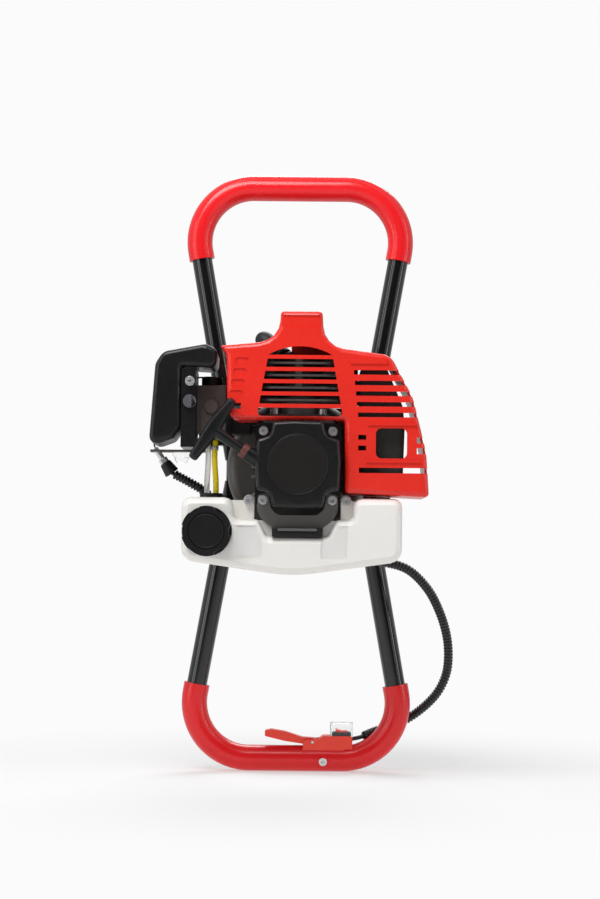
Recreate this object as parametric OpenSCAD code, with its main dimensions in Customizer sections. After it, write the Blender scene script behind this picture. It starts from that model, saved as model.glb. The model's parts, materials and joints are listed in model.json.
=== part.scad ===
// Power head of a two-stroke earth auger, stood on its lower handle.
// Millimetres. The drive axis is Y, the bit leaves toward +Y, and +Z is up as it stands.
// A forward station is the distance from the origin toward -Y, on the starter side.

/* [Frame] */
// Outside diameter of the handle tubes
tube_d = 22; // [20:0.5:24]
// Wall of the handle tubes
tube_wall = 2; // [1.5:0.1:3]
// Outside diameter of the sleeve grips
grip_d = 28; // [26:0.5:32]
// Height of each handle bar above or below the drive axis
bar_height = 313.5; // [300:0.5:330]
// Width of a handle loop across its tube centres
loop_w = 222; // [212:1:232]
// Centre line radius of the handle bends
bend_r = 60; // [54:1:66]
// Lean of the handle legs toward the drive axis
leg_lean = 10; // [8.5:0.5:11]
// Length of leg that a grip covers past the bend
grip_leg = 10; // [4:1:20]
// Thickness of the frame plate
plate_t = 5; // [4:0.5:7]
// Length of a tube clamp along its tube
clamp_w = 18; // [14:1:20]
// Sheet thickness of the tube clamps
clamp_t = 3; // [2:0.5:4]

/* [Gearbox] */
// Module of the gear teeth
gear_module = 1; // [0.9:0.05:1.1]
// Teeth on the input pinion
pinion_teeth = 12; // [12:1:14]
// Teeth on the large layshaft gear
lay_teeth = 63; // [60:1:64]
// Teeth on the layshaft pinion
lay_pinion_teeth = 13; // [13:1:15]
// Depth of the gearbox case
box_depth = 50; // [49:1:56]
// Wall of the gearbox case
box_wall = 4; // [3:0.5:5]
// Diameter of the output shaft
shaft_d = 20; // [18:0.5:22]
// Length of the output shaft that stands clear of the gearbox
shaft_len = 42; // [36:1:50]
// Diameter of the cross hole that takes the bit pin
cross_hole_d = 8; // [6:0.5:9]

/* [Engine] */
// Radius of the fan housing
fan_r = 76; // [74:0.5:80]
// Depth of the fan housing
fan_depth = 55; // [54:1:60]
// Depth of the crankcase
case_depth = 62; // [60:1:66]
// Radius of the crankcase barrel
case_r = 40; // [38:0.5:41]
// Cylinder bore
bore_d = 44; // [40:0.5:46]
// Piston stroke
stroke = 32; // [28:0.5:34]
// Half width of the cooling fins
fin_half = 44; // [42:0.5:45]
// Number of cooling fins
fin_count = 8; // [6:1:8]
// Pitch of the cooling fins
fin_pitch = 6.4; // [5.6:0.1:6.8]
// Thickness of a cooling fin
fin_t = 2.2; // [1.6:0.1:3]

/* [Recoil starter] */
// Half width of the starter cover
starter_half = 42; // [41:0.5:43]
// Depth of the starter cover
starter_depth = 38; // [37:0.5:42]
// Distance of the cover screws from the axis, across and up
screw_square = 35.5; // [35:0.25:36]
// Diameter of the bare centre disc
disc_d = 60; // [50:1:62]
// Radius at which the rope leaves the pulley
rope_r = 19.5; // [18:0.25:20.5]
// Direction of the pull above the +X axis
pull_angle = 146; // [144:0.5:148]
// Diameter of the starter rope
rope_d = 4; // [3:0.25:4.5]
// Length of the handle bar
pull_bar = 74; // [66:1:78]

/* [Shroud] */
// Left side of the shroud
shroud_left = 73; // [73:0.5:75]
// Right foot of the shroud
shroud_right = 134.5; // [133:0.5:137]
// Top of the shroud tab
shroud_top = 158.5; // [155:0.5:164]
// Width of the top tab
tab_w = 43; // [38:0.5:46]
// Wall of the moulded shroud
shroud_wall = 2.5; // [2:0.25:3]
// Number of bars across the front grille
grille_bars = 5; // [3:1:6]
// Thickness of a grille bar
grille_bar_t = 4; // [3:0.25:5]

/* [Fuel tank] */
// Width of the tank
tank_w = 226; // [222:1:230]
// Top of the tank lobes below the axis
tank_top = 33.5; // [33:0.25:36]
// Bottom of the tank below the axis
tank_bottom = 114; // [108:0.5:120]
// Wall of the tank
tank_wall = 2.5; // [2:0.25:3.5]
// Diameter of the fuel cap
cap_d = 51; // [47:0.5:53]
// Number of finger grips round the cap
cap_grips = 6; // [6:1:12]

/* [Air filter] */
// Left face of the filter cover
filter_left = 154; // [152:0.5:158]
// Wall of the filter cover
filter_wall = 2.5; // [2:0.25:3]

/* [Throttle] */
// Length of the trigger from its pin
trigger_len = 52; // [46:1:56]
// Width of the trigger
trigger_w = 12; // [9:0.5:14]
// Outside diameter of the ribbed conduit
conduit_d = 10; // [9:0.25:10.5]
// Pitch of the conduit ribs
rib_pitch = 3.6; // [3.4:0.1:4.4]
// Diameter of the cable jacket inside the conduit
cable_d = 4.6; // [4:0.2:5]

/* [Hidden] */
$fn = 48;
// Fit between pieces that seat on each other
clr = 0.15;
// Running clearance between a pin or shaft and its bore
run = 0.06;
// Overlap that makes a cut pass through a face
cut = 1;

tube_r = tube_d / 2;
grip_r = grip_d / 2;
shaft_r = shaft_d / 2;
bore_r = bore_d / 2;

// Forward stations along the drive axis
shaft_tip = -shaft_len / 2 + 1;
neck_end = shaft_len / 2 + 1;
box_back = neck_end + 18;
box_back_t = 5;
box_front = box_back + box_depth;
cover_t = 5;
plate_back = box_front + cover_t;
plate_front = plate_back + plate_t;
fan_front = plate_front + fan_depth;
case_front = fan_front + case_depth;
cyl_at = fan_front + case_depth / 2;
flange_t = 8;
flange_front = case_front + flange_t;
cover_front = case_front + starter_depth;
shell_front = case_front + 23;
tube_at = plate_back - tube_r - clr;

// Handle loop
bar_half = loop_w / 2 - bend_r;
arc_end_x = bar_half + bend_r * cos(leg_lean);
arc_end_z = bar_height - bend_r - bend_r * sin(leg_lean);
leg_stop = 13;
// Thinning of the wall at each bend, inside and out
bend_thin = 0.05;
// Angle by which a bend reaches into the straight tube at each end
bend_reach = 1;
leg_run = (arc_end_z - leg_stop) / cos(leg_lean);
clamp_z = 38;
clamp_ear = tube_r + clamp_t + 14;
bolt_offset = tube_r + clamp_t + 7;
bolt_r = 3;
bolt_head_r = 5.6;
bolt_head_h = 4;
// Depth of bolt in a fan housing boss
boss_grip = 12;
// Thickness of the gearbox flange
ear_t = 6;
plate_half_w = leg_x(0) + tube_r;
plate_corner = 18;
// Fan housing bosses on the plate
boss_angle = 68;
boss_at = fan_r - 4;
boss_r = 7;

// Gear train
lay_z = -gear_module * (pinion_teeth + lay_teeth) / 2;
out_teeth = pinion_teeth + lay_teeth - lay_pinion_teeth;
box_r = gear_module * (lay_teeth / 2 + 1) + 2.5 + box_wall;
box_ear = box_r + 5;
box_ear_angle = 30;
plate_half_h = box_ear * sin(box_ear_angle) - lay_z + boss_r + 2;
// Forward stations inside the box
out_gear_back = box_back + 10;
out_gear_w = 14;
lay_gear_back = out_gear_back + out_gear_w + 4;
lay_gear_w = 10;
input_shaft_r = 8;
bearing_r = 16;
lay_shaft_r = 5;
out_bearing_r = shaft_r + 7;
neck_r = out_bearing_r + 5;

// Clutch and flywheel
drum_r = 34;
drum_back = plate_front + 4;
drum_depth = 22;
fly_r = 60;
fly_back = drum_back + drum_depth + 2;
fly_w = 22;

// Crank train
crank_r = 7.5;
web_r = stroke / 2 + 12;
crank_pin_r = 6;
web_gap = 10;
web_t = 8;
rod_len = 56;
piston_pin_z = stroke / 2 + rod_len;
piston_top = piston_pin_z + 16;
case_top = 48;
head_top = 114;
fin_base = head_top - 3 - (fin_count - 1) * fin_pitch;
port_z = 80;
// Bolts of the cylinder foot, across and along the drive axis
head_bolts_x = [-25, 25];
head_bolts_y = [-20, 20];
// Thread radius of the small screws
screw_r = 2.5;
tank_ear_x = 50;
tank_ear_z = -36;
// Radius of a tank ear, and of the crankcase boss it seats on
tank_ear_r = 5.6;
tank_boss_r = 5.2;

// Rope line
pull = [cos(pull_angle), 0, sin(pull_angle)];
rope_from = rope_r * [-sin(pull_angle), 0, cos(pull_angle)];
rope_at = cover_front - 8.5;
collar_start = 49;
collar_len = 7;
stem_start = collar_start + collar_len + 0.4;
stem_len = 28;
pulley_w = 10;
spindle_r = 5;

// Throttle control, placed from the lower bar
bar_top = -bar_height + grip_r;
pin_x = 18.5;
pin_z = bar_top + 4.2;
pin_r = 1.6;
housing_w = 21;
housing_left = 8;
housing_right = 62;
housing_top = bar_top + 12;
switch_x = 50;
switch_w = 21;

// Air filter and carburettor
base_right = 106;
base_left = 121;
filter_back = fan_front + 12;
filter_front = shell_front - 6;
carb_half = 16;
filter_screw_x = -112;
filter_screw_z = 86;

function unit(v) = v / norm(v);
// Places on a leg centre line at height z
function leg_x(z) = arc_end_x - (arc_end_z - z) * tan(leg_lean);
// Rounds corner b between a and c by radius r in n steps
function fillet(a, b, c, r, n) =
  let (u = unit(a - b), v = unit(c - b), half = acos(u * v) / 2)
  let (t = r / tan(half), m = b + unit(u + v) * r / sin(half))
  let (p = (b + u * t - m) / r, q = (b + v * t - m) / r, th = acos(p * q))
  [for (k = [0 : n]) m + r * (sin((1 - k / n) * th) * p + sin(k / n * th) * q) / sin(th)];
function xz(c) = [c[0], c[1]];
// Turns corners [x, z, radius], listed anticlockwise, into an outline
function outline(cs, n = 4) =
  let (m = len(cs))
  [for (i = [0 : m - 1])
    each fillet(xz(cs[(i + m - 1) % m]), xz(cs[i]), xz(cs[(i + 1) % m]), max(cs[i][2], 0.2), n)];
// Moves every edge of a corner list inward by d
function shrunk(cs, d) =
  let (m = len(cs))
  [for (i = [0 : m - 1])
    let (b = xz(cs[i]), e = unit(b - xz(cs[(i + m - 1) % m])), f = unit(xz(cs[(i + 1) % m]) - b))
    let (g = [-e.y, e.x], h = [-f.y, f.x], q = b + d * (g + h) / (1 + g * h))
    let (turn = e.x * f.y - e.y * f.x)
    [q.x, q.y, max(cs[i][2] - sign(turn) * d, 0.2)]];
// Joins rings of points into one closed skin
function skin_faces(rings, n) = [
  [for (j = [0 : n - 1]) j],
  for (i = [0 : rings - 2], j = [0 : n - 1])
    [i * n + j, (i + 1) * n + j, (i + 1) * n + (j + 1) % n, i * n + (j + 1) % n],
  [for (j = [0 : n - 1]) rings * n - 1 - j]];

// Joins rings of points into one closed band, its last ring meeting its first
function band_faces(rings, n) = [
  for (i = [0 : rings - 1], j = [0 : n - 1])
    [i * n + j, (i + 1) % rings * n + j, (i + 1) % rings * n + (j + 1) % n, i * n + (j + 1) % n]];

// The side wall of a moulded shell with rounded rims, open at both ends
module side_wall(cs, back, front, rim, wall, back_rim = 0, n = 4, steps = 3) {
  arc = [for (k = [0 : steps]) 90 * k / steps];
  rear = back_rim > 0
    ? [for (a = arc) [back + parting + back_rim * (1 - cos(a)), back_rim * (1 - sin(a))]]
    : [[back, 0]];
  fore = [for (a = arc) [front - parting - rim * (1 - sin(a)), rim * (1 - cos(a))]];
  foot = back_rim > 0
    ? [[back + wall, wall], [back + wall, back_rim]]
    : [[back, wall]];
  rings = [each rear, each fore, [front - wall, rim], [front - wall, wall], each foot];
  shapes = [for (r = rings) outline(shrunk(cs, r[1]), n)];
  points = [for (i = [0 : len(rings) - 1]) each [for (p = shapes[i]) [p.x, -rings[i][0], p.y]]];
  polyhedron(points, band_faces(len(rings), len(shapes[0])));
}

// The same with both ends closed by a fan round a middle point, for outlines that aren't convex
function fan_faces(rings, n) = [
  for (j = [0 : n - 1]) [rings * n, j, (j + 1) % n],
  for (i = [0 : rings - 2], j = [0 : n - 1])
    [i * n + j, (i + 1) * n + j, (i + 1) * n + (j + 1) % n, i * n + (j + 1) % n],
  for (j = [0 : n - 1]) [rings * n + 1, (rings - 1) * n + (j + 1) % n, (rings - 1) * n + j]];

// A moulded slab from station back to station front, with its rims rounded.
// From the middle point, every part of the outline is in sight.
module moulded(cs, back, front, rim, back_rim = 0, n = 4, steps = 3, middle = undef) {
  arc = [for (k = [0 : steps]) 90 * k / steps];
  rear = back_rim > 0
    ? [for (k = [0 : steps - 1]) [back + back_rim * (1 - cos(arc[k])), back_rim * (1 - sin(arc[k]))]]
    : [];
  mid = [[back + back_rim, 0]];
  fore = [for (a = arc) [front - rim * (1 - sin(a)), rim * (1 - cos(a))]];
  rings = [each rear, each mid, each fore];
  shapes = [for (r = rings) outline(shrunk(cs, r[1]), n)];
  count = len(shapes[0]);
  points = [for (i = [0 : len(rings) - 1]) each [for (p = shapes[i]) [p.x, -rings[i][0], p.y]]];
  if (middle == undef)
    polyhedron(points, skin_faces(len(rings), count));
  else
    polyhedron(
      [each points, [middle.x, -rings[0][0], middle.y], [middle.x, -front, middle.y]],
      fan_faces(len(rings), count));
}

// A cylinder along the drive axis between two forward stations
module rod(from, to, r, x = 0, z = 0) {
  translate([x, -from, z])
    rotate([90, 0, 0])
      cylinder(h = to - from, r = r);
}

// A flat slab along the drive axis from a 2D shape drawn in x and z
module slab(from, to) {
  translate([0, -from, 0])
    rotate([90, 0, 0])
      linear_extrude(to - from)
        children();
}

module ring(from, to, r_out, r_in, x = 0, z = 0) {
  difference() {
    rod(from, to, r_out, x, z);
    rod(from - cut, to + cut, r_in, x, z);
  }
}

module rounded_box(w, h, r) {
  square([w - 2 * r, h], center = true);
  square([w, h - 2 * r], center = true);
  for (x = [-1, 1], z = [-1, 1])
    translate([x * (w / 2 - r), z * (h / 2 - r)])
      circle(r);
}

// A box between two corners, with y given as forward stations
module block(x0, x1, from, to, z0, z1) {
  translate([x0, -to, z0])
    cube([x1 - x0, to - from, z1 - z0]);
}

// Puts children along the rope line, their z on the pull
module on_rope(t) {
  translate(rope_from + pull * t + [0, -rope_at, 0])
    rotate([0, 90 - pull_angle, 0])
      children();
}

// A length of tube along z
module pipe(long, r, r_in) {
  linear_extrude(long)
    difference() {
      circle(r);
      circle(r_in);
    }
}

// Upper handle path as a tube of the given radii
module loop_path(r, r_in, leg) {
  translate([-bar_half, -tube_at, bar_height])
    rotate([0, 90, 0])
      pipe(2 * bar_half, r, r_in);
  for (s = [0, 1])
    mirror([s, 0, 0]) {
      translate([bar_half, -tube_at, bar_height - bend_r])
        rotate([90, 0, 0])
          rotate([0, 0, -leg_lean - bend_reach])
            rotate_extrude(angle = 90 + leg_lean + 2 * bend_reach)
              translate([bend_r, 0])
                difference() {
                  circle(r - bend_thin);
                  circle(r_in + bend_thin);
                }
      translate([arc_end_x, -tube_at, arc_end_z])
        rotate([0, 180 + leg_lean, 0])
          pipe(leg, r, r_in);
    }
}

module handle_tube() {
  color("#1b1c1e")
    loop_path(tube_r, tube_r - tube_wall, leg_run);
}

module upper_tube() {
  handle_tube();
}

module lower_tube() {
  difference() {
    mirror([0, 0, 1])
      handle_tube();
    rod(tube_at, tube_at + grip_r, grip_screw_r + clr, grip_screw_x, grip_screw_z);
  }
}

grip_screw_x = 30;
grip_screw_z = -bar_height - 2.5;
grip_screw_r = 2;

module grip_sleeve() {
  color("#c8141a")
    loop_path(grip_r, tube_r + clr, grip_leg);
}

module upper_grip() {
  grip_sleeve();
}

module lower_grip() {
  difference() {
    mirror([0, 0, 1])
      grip_sleeve();
    rod(tube_at, tube_at + grip_r + cut, grip_screw_r + clr, grip_screw_x, grip_screw_z);
  }
}

module grip_screw() {
  color("#b9bcc0")
    difference() {
      union() {
        rod(tube_at + tube_r - tube_wall - 3, tube_at + grip_r, grip_screw_r, grip_screw_x, grip_screw_z);
        rod(tube_at + grip_r, tube_at + grip_r + 2.6, 4.4, grip_screw_x, grip_screw_z);
      }
      for (w = [[5, 1.2], [1.2, 5]])
        translate([grip_screw_x - w[0] / 2, -tube_at - grip_r - 4, grip_screw_z - w[1] / 2])
          cube([w[0], 2.6, w[1]]);
    }
}

// Puts children on each leg at a clamp, x across the tube and z along it
module at_clamps() {
  for (side = [0, 1], level = [0, 1])
    mirror([side, 0, 0])
      mirror([0, 0, level])
        translate([leg_x(clamp_z), -tube_at, clamp_z])
          rotate([0, leg_lean, 0])
            children();
}

// Puts children on the upper ears of the gearbox
module at_upper_ears() {
  for (x = [-1, 1])
    translate([x * box_ear * cos(box_ear_angle), 0, box_ear * sin(box_ear_angle)])
      children();
}

// Puts children on the lower ears, whose bolts also hold the fan housing
module at_lower_ears() {
  for (x = [-1, 1])
    translate([x * box_ear * cos(box_ear_angle), 0, lay_z - box_ear * sin(box_ear_angle)])
      children();
}

// Puts children on the upper bosses of the fan housing
module at_upper_bosses() {
  for (x = [-1, 1])
    translate([x * boss_at * cos(boss_angle), 0, boss_at * sin(boss_angle)])
      children();
}

module frame_plate() {
  color("#2a2b2d")
    difference() {
      slab(plate_back, plate_front) {
        rounded_box(2 * plate_half_w, 2 * plate_half_h, plate_corner);
        for (side = [-1, 1], level = [-1, 1])
          translate([side * leg_x(clamp_z), level * clamp_z])
            rotate(-side * level * leg_lean)
              square([2 * clamp_ear, clamp_w], center = true);
      }
      rod(plate_back - cut, plate_front + cut, bearing_r + clr);
      at_clamps()
        for (x = [-1, 1])
          translate([x * bolt_offset, 0, 0])
            rotate([90, 0, 0])
              cylinder(h = tube_r + plate_t + 2, r = bolt_r + clr);
      at_upper_ears()
        rod(plate_back - cut, plate_front + cut, bolt_r + clr);
      at_lower_ears()
        rod(plate_back - cut, plate_front + cut, bolt_r + clr);
      at_upper_bosses()
        rod(plate_back - cut, plate_front + cut, bolt_r + clr);
      rod(plate_back - cut, plate_back + 2, lay_shaft_r + 1, 0, lay_z);
    }
}

module clamp_profile() {
  difference() {
    union() {
      circle(tube_r + clamp_t);
      translate([-tube_r - clamp_t, -tube_r])
        square([2 * (tube_r + clamp_t), tube_r]);
      translate([-clamp_ear, -tube_r])
        square([2 * clamp_ear, clamp_t]);
    }
    circle(tube_r + clr);
    translate([-tube_r - clr, -tube_r - clamp_t - cut])
      square([2 * (tube_r + clr), tube_r + clamp_t + cut]);
    translate([-clamp_ear - cut, -tube_r - clamp_t - 2])
      square([2 * clamp_ear + 2, clamp_t + 2]);
  }
}

module tube_clamps() {
  color("#3b3d40")
    at_clamps()
      difference() {
        translate([0, 0, -clamp_w / 2])
          linear_extrude(clamp_w)
            clamp_profile();
        for (x = [-1, 1])
          translate([x * bolt_offset, 0, 0])
            rotate([90, 0, 0])
              cylinder(h = tube_r + 2, r = bolt_r + clr);
      }
}

module frame_bolts() {
  color("#a9acb0") {
    at_clamps()
      for (x = [-1, 1])
        translate([x * bolt_offset, clamp_t - tube_r, 0])
          rotate([90, 0, 0])
            hex_bolt(clamp_t + plate_t + clr);
    at_upper_ears()
      translate([0, ear_t - box_front, 0])
        rotate([90, 0, 0])
          hex_bolt(ear_t + cover_t + plate_t);
    at_lower_ears()
      translate([0, ear_t - box_front, 0])
        rotate([90, 0, 0])
          hex_bolt(ear_t + cover_t + plate_t + boss_grip);
    at_upper_bosses()
      translate([0, -plate_back, 0])
        rotate([90, 0, 0])
          hex_bolt(plate_t + boss_grip);
  }
}

module hex_bolt(long) {
  cylinder(h = long, r = bolt_r);
  translate([0, 0, -bolt_head_h])
    cylinder(h = bolt_head_h, r = bolt_head_r, $fn = 6);
}

// Involute flank points of one tooth, from root to tip, as polar pairs
press = 25;
backlash = 0.14;
function inv_at(r, base) = let (a = acos(min(1, base / r))) tan(a) * 180 / PI - a;
function gear_points(z, m) =
  let (pr = z * m / 2, base = pr * cos(press), tip = pr + 0.95 * m, root = pr - 1.2 * m)
  let (half = 90 / z - backlash / 2 / pr * 180 / PI + inv_at(pr, base))
  let (rs = [max(root, base), (max(root, base) + tip) / 2, tip])
  [for (i = [0 : z - 1]) let (mid = 360 * i / z) each [
    [root, mid - half + inv_at(rs[0], base)],
    for (r = rs) [r, mid - half + inv_at(r, base)],
    for (k = [2 : -1 : 0]) [rs[k], mid + half - inv_at(rs[k], base)],
    [root, mid + half - inv_at(rs[0], base)]]];
module gear(z, m) {
  polygon([for (p = gear_points(z, m)) p[0] * [cos(p[1]), sin(p[1])]]);
}

module output_shaft() {
  color("#c4c6c9")
    difference() {
      union() {
        rod(shaft_tip, out_gear_back + out_gear_w, shaft_r);
        rod(neck_end - 12, neck_end - 2, shaft_r + 3);
        slab(out_gear_back, out_gear_back + out_gear_w)
          rotate(-90 + 180 / out_teeth)
            gear(out_teeth, gear_module);
        rod(box_back + box_back_t + clr, out_gear_back, shaft_r + 3);
      }
      translate([-shaft_r - cut, 0, 0])
        rotate([0, 90, 0])
          cylinder(h = shaft_d + 2 * cut, d = cross_hole_d);
    }
}

module layshaft() {
  color("#9fa2a6") {
    rod(box_back + 2, plate_back - 1, lay_shaft_r, 0, lay_z);
    translate([0, 0, lay_z]) {
      slab(lay_gear_back, lay_gear_back + lay_gear_w)
        rotate(90 + 180 / lay_teeth)
          gear(lay_teeth, gear_module);
      slab(out_gear_back - 2, lay_gear_back)
        rotate(90)
          gear(lay_pinion_teeth, gear_module);
    }
  }
}

module clutch_drum() {
  color("#8d9094") {
    difference() {
      rod(drum_back, drum_back + drum_depth, drum_r);
      rod(drum_back + 3, drum_back + drum_depth + cut, drum_r - 3);
    }
    rod(lay_gear_back + lay_gear_w + 2, drum_back, input_shaft_r);
    slab(lay_gear_back - 2, lay_gear_back + lay_gear_w + 2)
      rotate(-90)
        gear(pinion_teeth, gear_module);
  }
}

module stadium(r) {
  circle(r);
  translate([0, lay_z])
    circle(r);
  translate([-r, lay_z])
    square([2 * r, -lay_z]);
}

module gearbox_case() {
  color("#8a8d90")
    difference() {
      union() {
        slab(box_back, box_front)
          stadium(box_r);
        slab(box_front - ear_t, box_front)
          stadium(box_r + 2);
        at_upper_ears()
          rod(box_front - ear_t, box_front, boss_r);
        at_lower_ears()
          rod(box_front - ear_t, box_front, boss_r);
        rod(neck_end, box_back + cut, neck_r);
        for (x = [-1, 1], z = [1, -1])
          rotate([0, 45 * x * z, 0])
            translate([-2, -box_back - cut, 0])
              cube([4, 16, z > 0 ? neck_r + 9 : neck_r + 8]);
      }
      slab(box_back + box_back_t, box_front + cut)
        stadium(box_r - box_wall);
      rod(neck_end - cut, box_back + box_back_t + cut, out_bearing_r + clr);
      rod(box_back + 1.5, box_back + box_back_t + cut, lay_shaft_r + run, 0, lay_z);
      at_upper_ears()
        rod(box_front - ear_t - cut, box_front + cut, bolt_r + clr);
      at_lower_ears()
        rod(box_front - ear_t - cut, box_front + cut, bolt_r + clr);
    }
}

module gearbox_cover() {
  color("#7c7f83")
    difference() {
      union() {
        slab(box_front, plate_back)
          stadium(box_r + 2);
        at_upper_ears()
          rod(box_front, plate_back, boss_r);
        at_lower_ears()
          rod(box_front, plate_back, boss_r);
      }
      rod(box_front - cut, plate_back + cut, bearing_r + clr);
      rod(box_front - cut, plate_back + cut, lay_shaft_r + run, 0, lay_z);
      at_upper_ears()
        rod(box_front - cut, plate_back + cut, bolt_r + clr);
      at_lower_ears()
        rod(box_front - cut, plate_back + cut, bolt_r + clr);
    }
}

module bearings() {
  color("#d0d2d4") {
    ring(neck_end + 4, box_back + box_back_t, out_bearing_r, shaft_r + run);
    ring(box_front + 0.5, plate_front - 0.5, bearing_r, input_shaft_r + run);
    ring(fan_front + 1, fan_front + 10, bearing_r, crank_r + run);
    ring(case_front - 10, case_front - 1, bearing_r, crank_r + run);
  }
}

module oil_seal() {
  color("#151515")
    ring(neck_end + 0.4, neck_end + 3.8, out_bearing_r, shaft_r + 0.1);
}

// Webs that join the lower bosses to the fan housing wall
module lower_webs() {
  ear = [box_ear * cos(box_ear_angle), lay_z - box_ear * sin(box_ear_angle)];
  for (side = [-1, 1])
    rotate([0, -atan2(ear.y, side * ear.x), 0])
      block(norm(ear), fan_r - 1, plate_front + 1, plate_front + boss_grip, -3, 3);
}

module fan_housing() {
  color("#6f7276")
    difference() {
      union() {
        rotate([90, 0, 0])
          rotate_extrude()
            polygon([
              [bearing_r + 3, fan_front], each fillet([bearing_r, fan_front], [fan_r, fan_front],
              [fan_r, plate_front], 12, 4), [fan_r, plate_front], [fan_r - 3, plate_front],
              each fillet([fan_r - 3, plate_front], [fan_r - 3, fan_front - 3],
              [bearing_r, fan_front - 3], 9, 4),
              [bearing_r + 3, fan_front - 3]]);
        at_upper_bosses()
          rod(plate_front, plate_front + boss_grip + 6, boss_r);
        at_lower_ears()
          rod(plate_front, plate_front + boss_grip + 6, boss_r);
        lower_webs();
      }
      at_upper_bosses()
        rod(plate_front - cut, plate_front + boss_grip + 1, bolt_r + clr);
      at_lower_ears()
        rod(plate_front - cut, plate_front + boss_grip + 1, bolt_r + clr);
      for (a = [150 : 12 : 210])
        rotate([0, -a, 0])
          translate([fan_r - 8, -plate_front - 30, -3])
            cube([20, 18, 6]);
    }
}

module flywheel() {
  color("#9b9ea1")
    difference() {
      union() {
        rod(fly_back, fly_back + 8, fly_r);
        rod(fly_back, fly_back + fly_w, 18);
        for (a = [0 : 30 : 330])
          rotate([0, a, 0])
            translate([30, -fly_back - fly_w + 1, -1.5])
              cube([fly_r - 32, fly_w - 2, 3]);
      }
      rod(fly_back - cut, fly_back + fly_w + cut, crank_r + clr);
    }
}

module clutch_shoes() {
  color("#585b5e")
    difference() {
      rod(drum_back + 6, drum_back + drum_depth - 2, drum_r - 4.5);
      rod(drum_back, drum_back + drum_depth, crank_r + clr);
      block(-drum_r, drum_r, drum_back, drum_back + drum_depth, -2, 2);
    }
}

module crankshaft() {
  color("#b4b7ba") {
    rod(drum_back + 5, cyl_at - web_gap / 2, crank_r);
    rod(cyl_at + web_gap / 2, case_front + 11, crank_r);
    rod(case_front + 1, case_front + 12, 13);
    for (side = [-1, 1])
      rod(cyl_at + (side < 0 ? -web_gap / 2 - web_t : web_gap / 2),
        cyl_at + (side < 0 ? -web_gap / 2 : web_gap / 2 + web_t), web_r);
    rod(cyl_at - web_gap / 2 - 2, cyl_at + web_gap / 2 + 2, crank_pin_r, 0, stroke / 2);
  }
}

module connecting_rod() {
  color("#a2a5a8")
    difference() {
      union() {
        rod(cyl_at - 4, cyl_at + 4, crank_pin_r + 5, 0, stroke / 2);
        rod(cyl_at - 4, cyl_at + 4, 8, 0, piston_pin_z);
        block(-4, 4, cyl_at - 3, cyl_at + 3, stroke / 2 + 8, piston_pin_z - 6);
      }
      rod(cyl_at - 5, cyl_at + 5, crank_pin_r + clr, 0, stroke / 2);
      rod(cyl_at - 5, cyl_at + 5, 5 + clr, 0, piston_pin_z);
    }
}

module piston() {
  color("#b9bcbf") {
    difference() {
      translate([0, -cyl_at, piston_pin_z - 14])
        cylinder(h = 30, r = bore_r - clr);
      translate([0, -cyl_at, piston_pin_z - 15])
        cylinder(h = 26, r = bore_r - 4);
    }
    rod(cyl_at - bore_r + 3, cyl_at + bore_r - 3, 5, 0, piston_pin_z);
  }
}

// A bar from the crankcase barrel out to a lug at x and z
module arm(x, z, from, to) {
  rotate([0, -atan2(z, x), 0])
    block(case_r - 5, norm([x, z]), from, to, -4, 4);
}

module crankcase() {
  color("#7a7d80")
    difference() {
      union() {
        rod(fan_front, case_front, case_r);
        block(-36, 36, fan_front + 3, case_front - 3, 0, case_top);
        for (x = [-1, 1]) {
          rod(case_front - 20, case_front, tank_boss_r, x * tank_ear_x, tank_ear_z);
          arm(x * tank_ear_x, tank_ear_z, case_front - 20, case_front - 1.2);
          for (z = [-1, 1]) {
            rod(case_front - 12, case_front, 6, x * screw_square, z * screw_square);
            arm(x * screw_square, z * screw_square, case_front - 12, case_front - 0.6);
          }
        }
        for (z = [-12, -3])
          block(-case_r - 8, -case_r + 8, cyl_at - 8, case_front - 4, z, z + 2.5);
      }
      rod(cyl_at - web_gap / 2 - web_t - 4, cyl_at + web_gap / 2 + web_t + 4, web_r + 2);
      translate([0, -cyl_at, 0])
        cylinder(h = case_top + cut, r = bore_r + 0.4);
      rod(fan_front - cut, fan_front + 10.5, bearing_r + clr);
      rod(case_front - 10.5, case_front + cut, bearing_r + clr);
      rod(fan_front, case_front, crank_r + 1);
      for (x = [-1, 1], z = [-1, 1])
        rod(case_front - 11, case_front + cut, screw_r + clr, x * screw_square, z * screw_square);
      for (x = [-1, 1])
        rod(case_front - 15, case_front + cut, screw_r + clr, x * tank_ear_x, tank_ear_z);
      for (x = head_bolts_x, y = head_bolts_y)
        translate([x, -cyl_at + y, case_top - 11])
          cylinder(h = 12, r = 3 + clr);
    }
}

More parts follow.
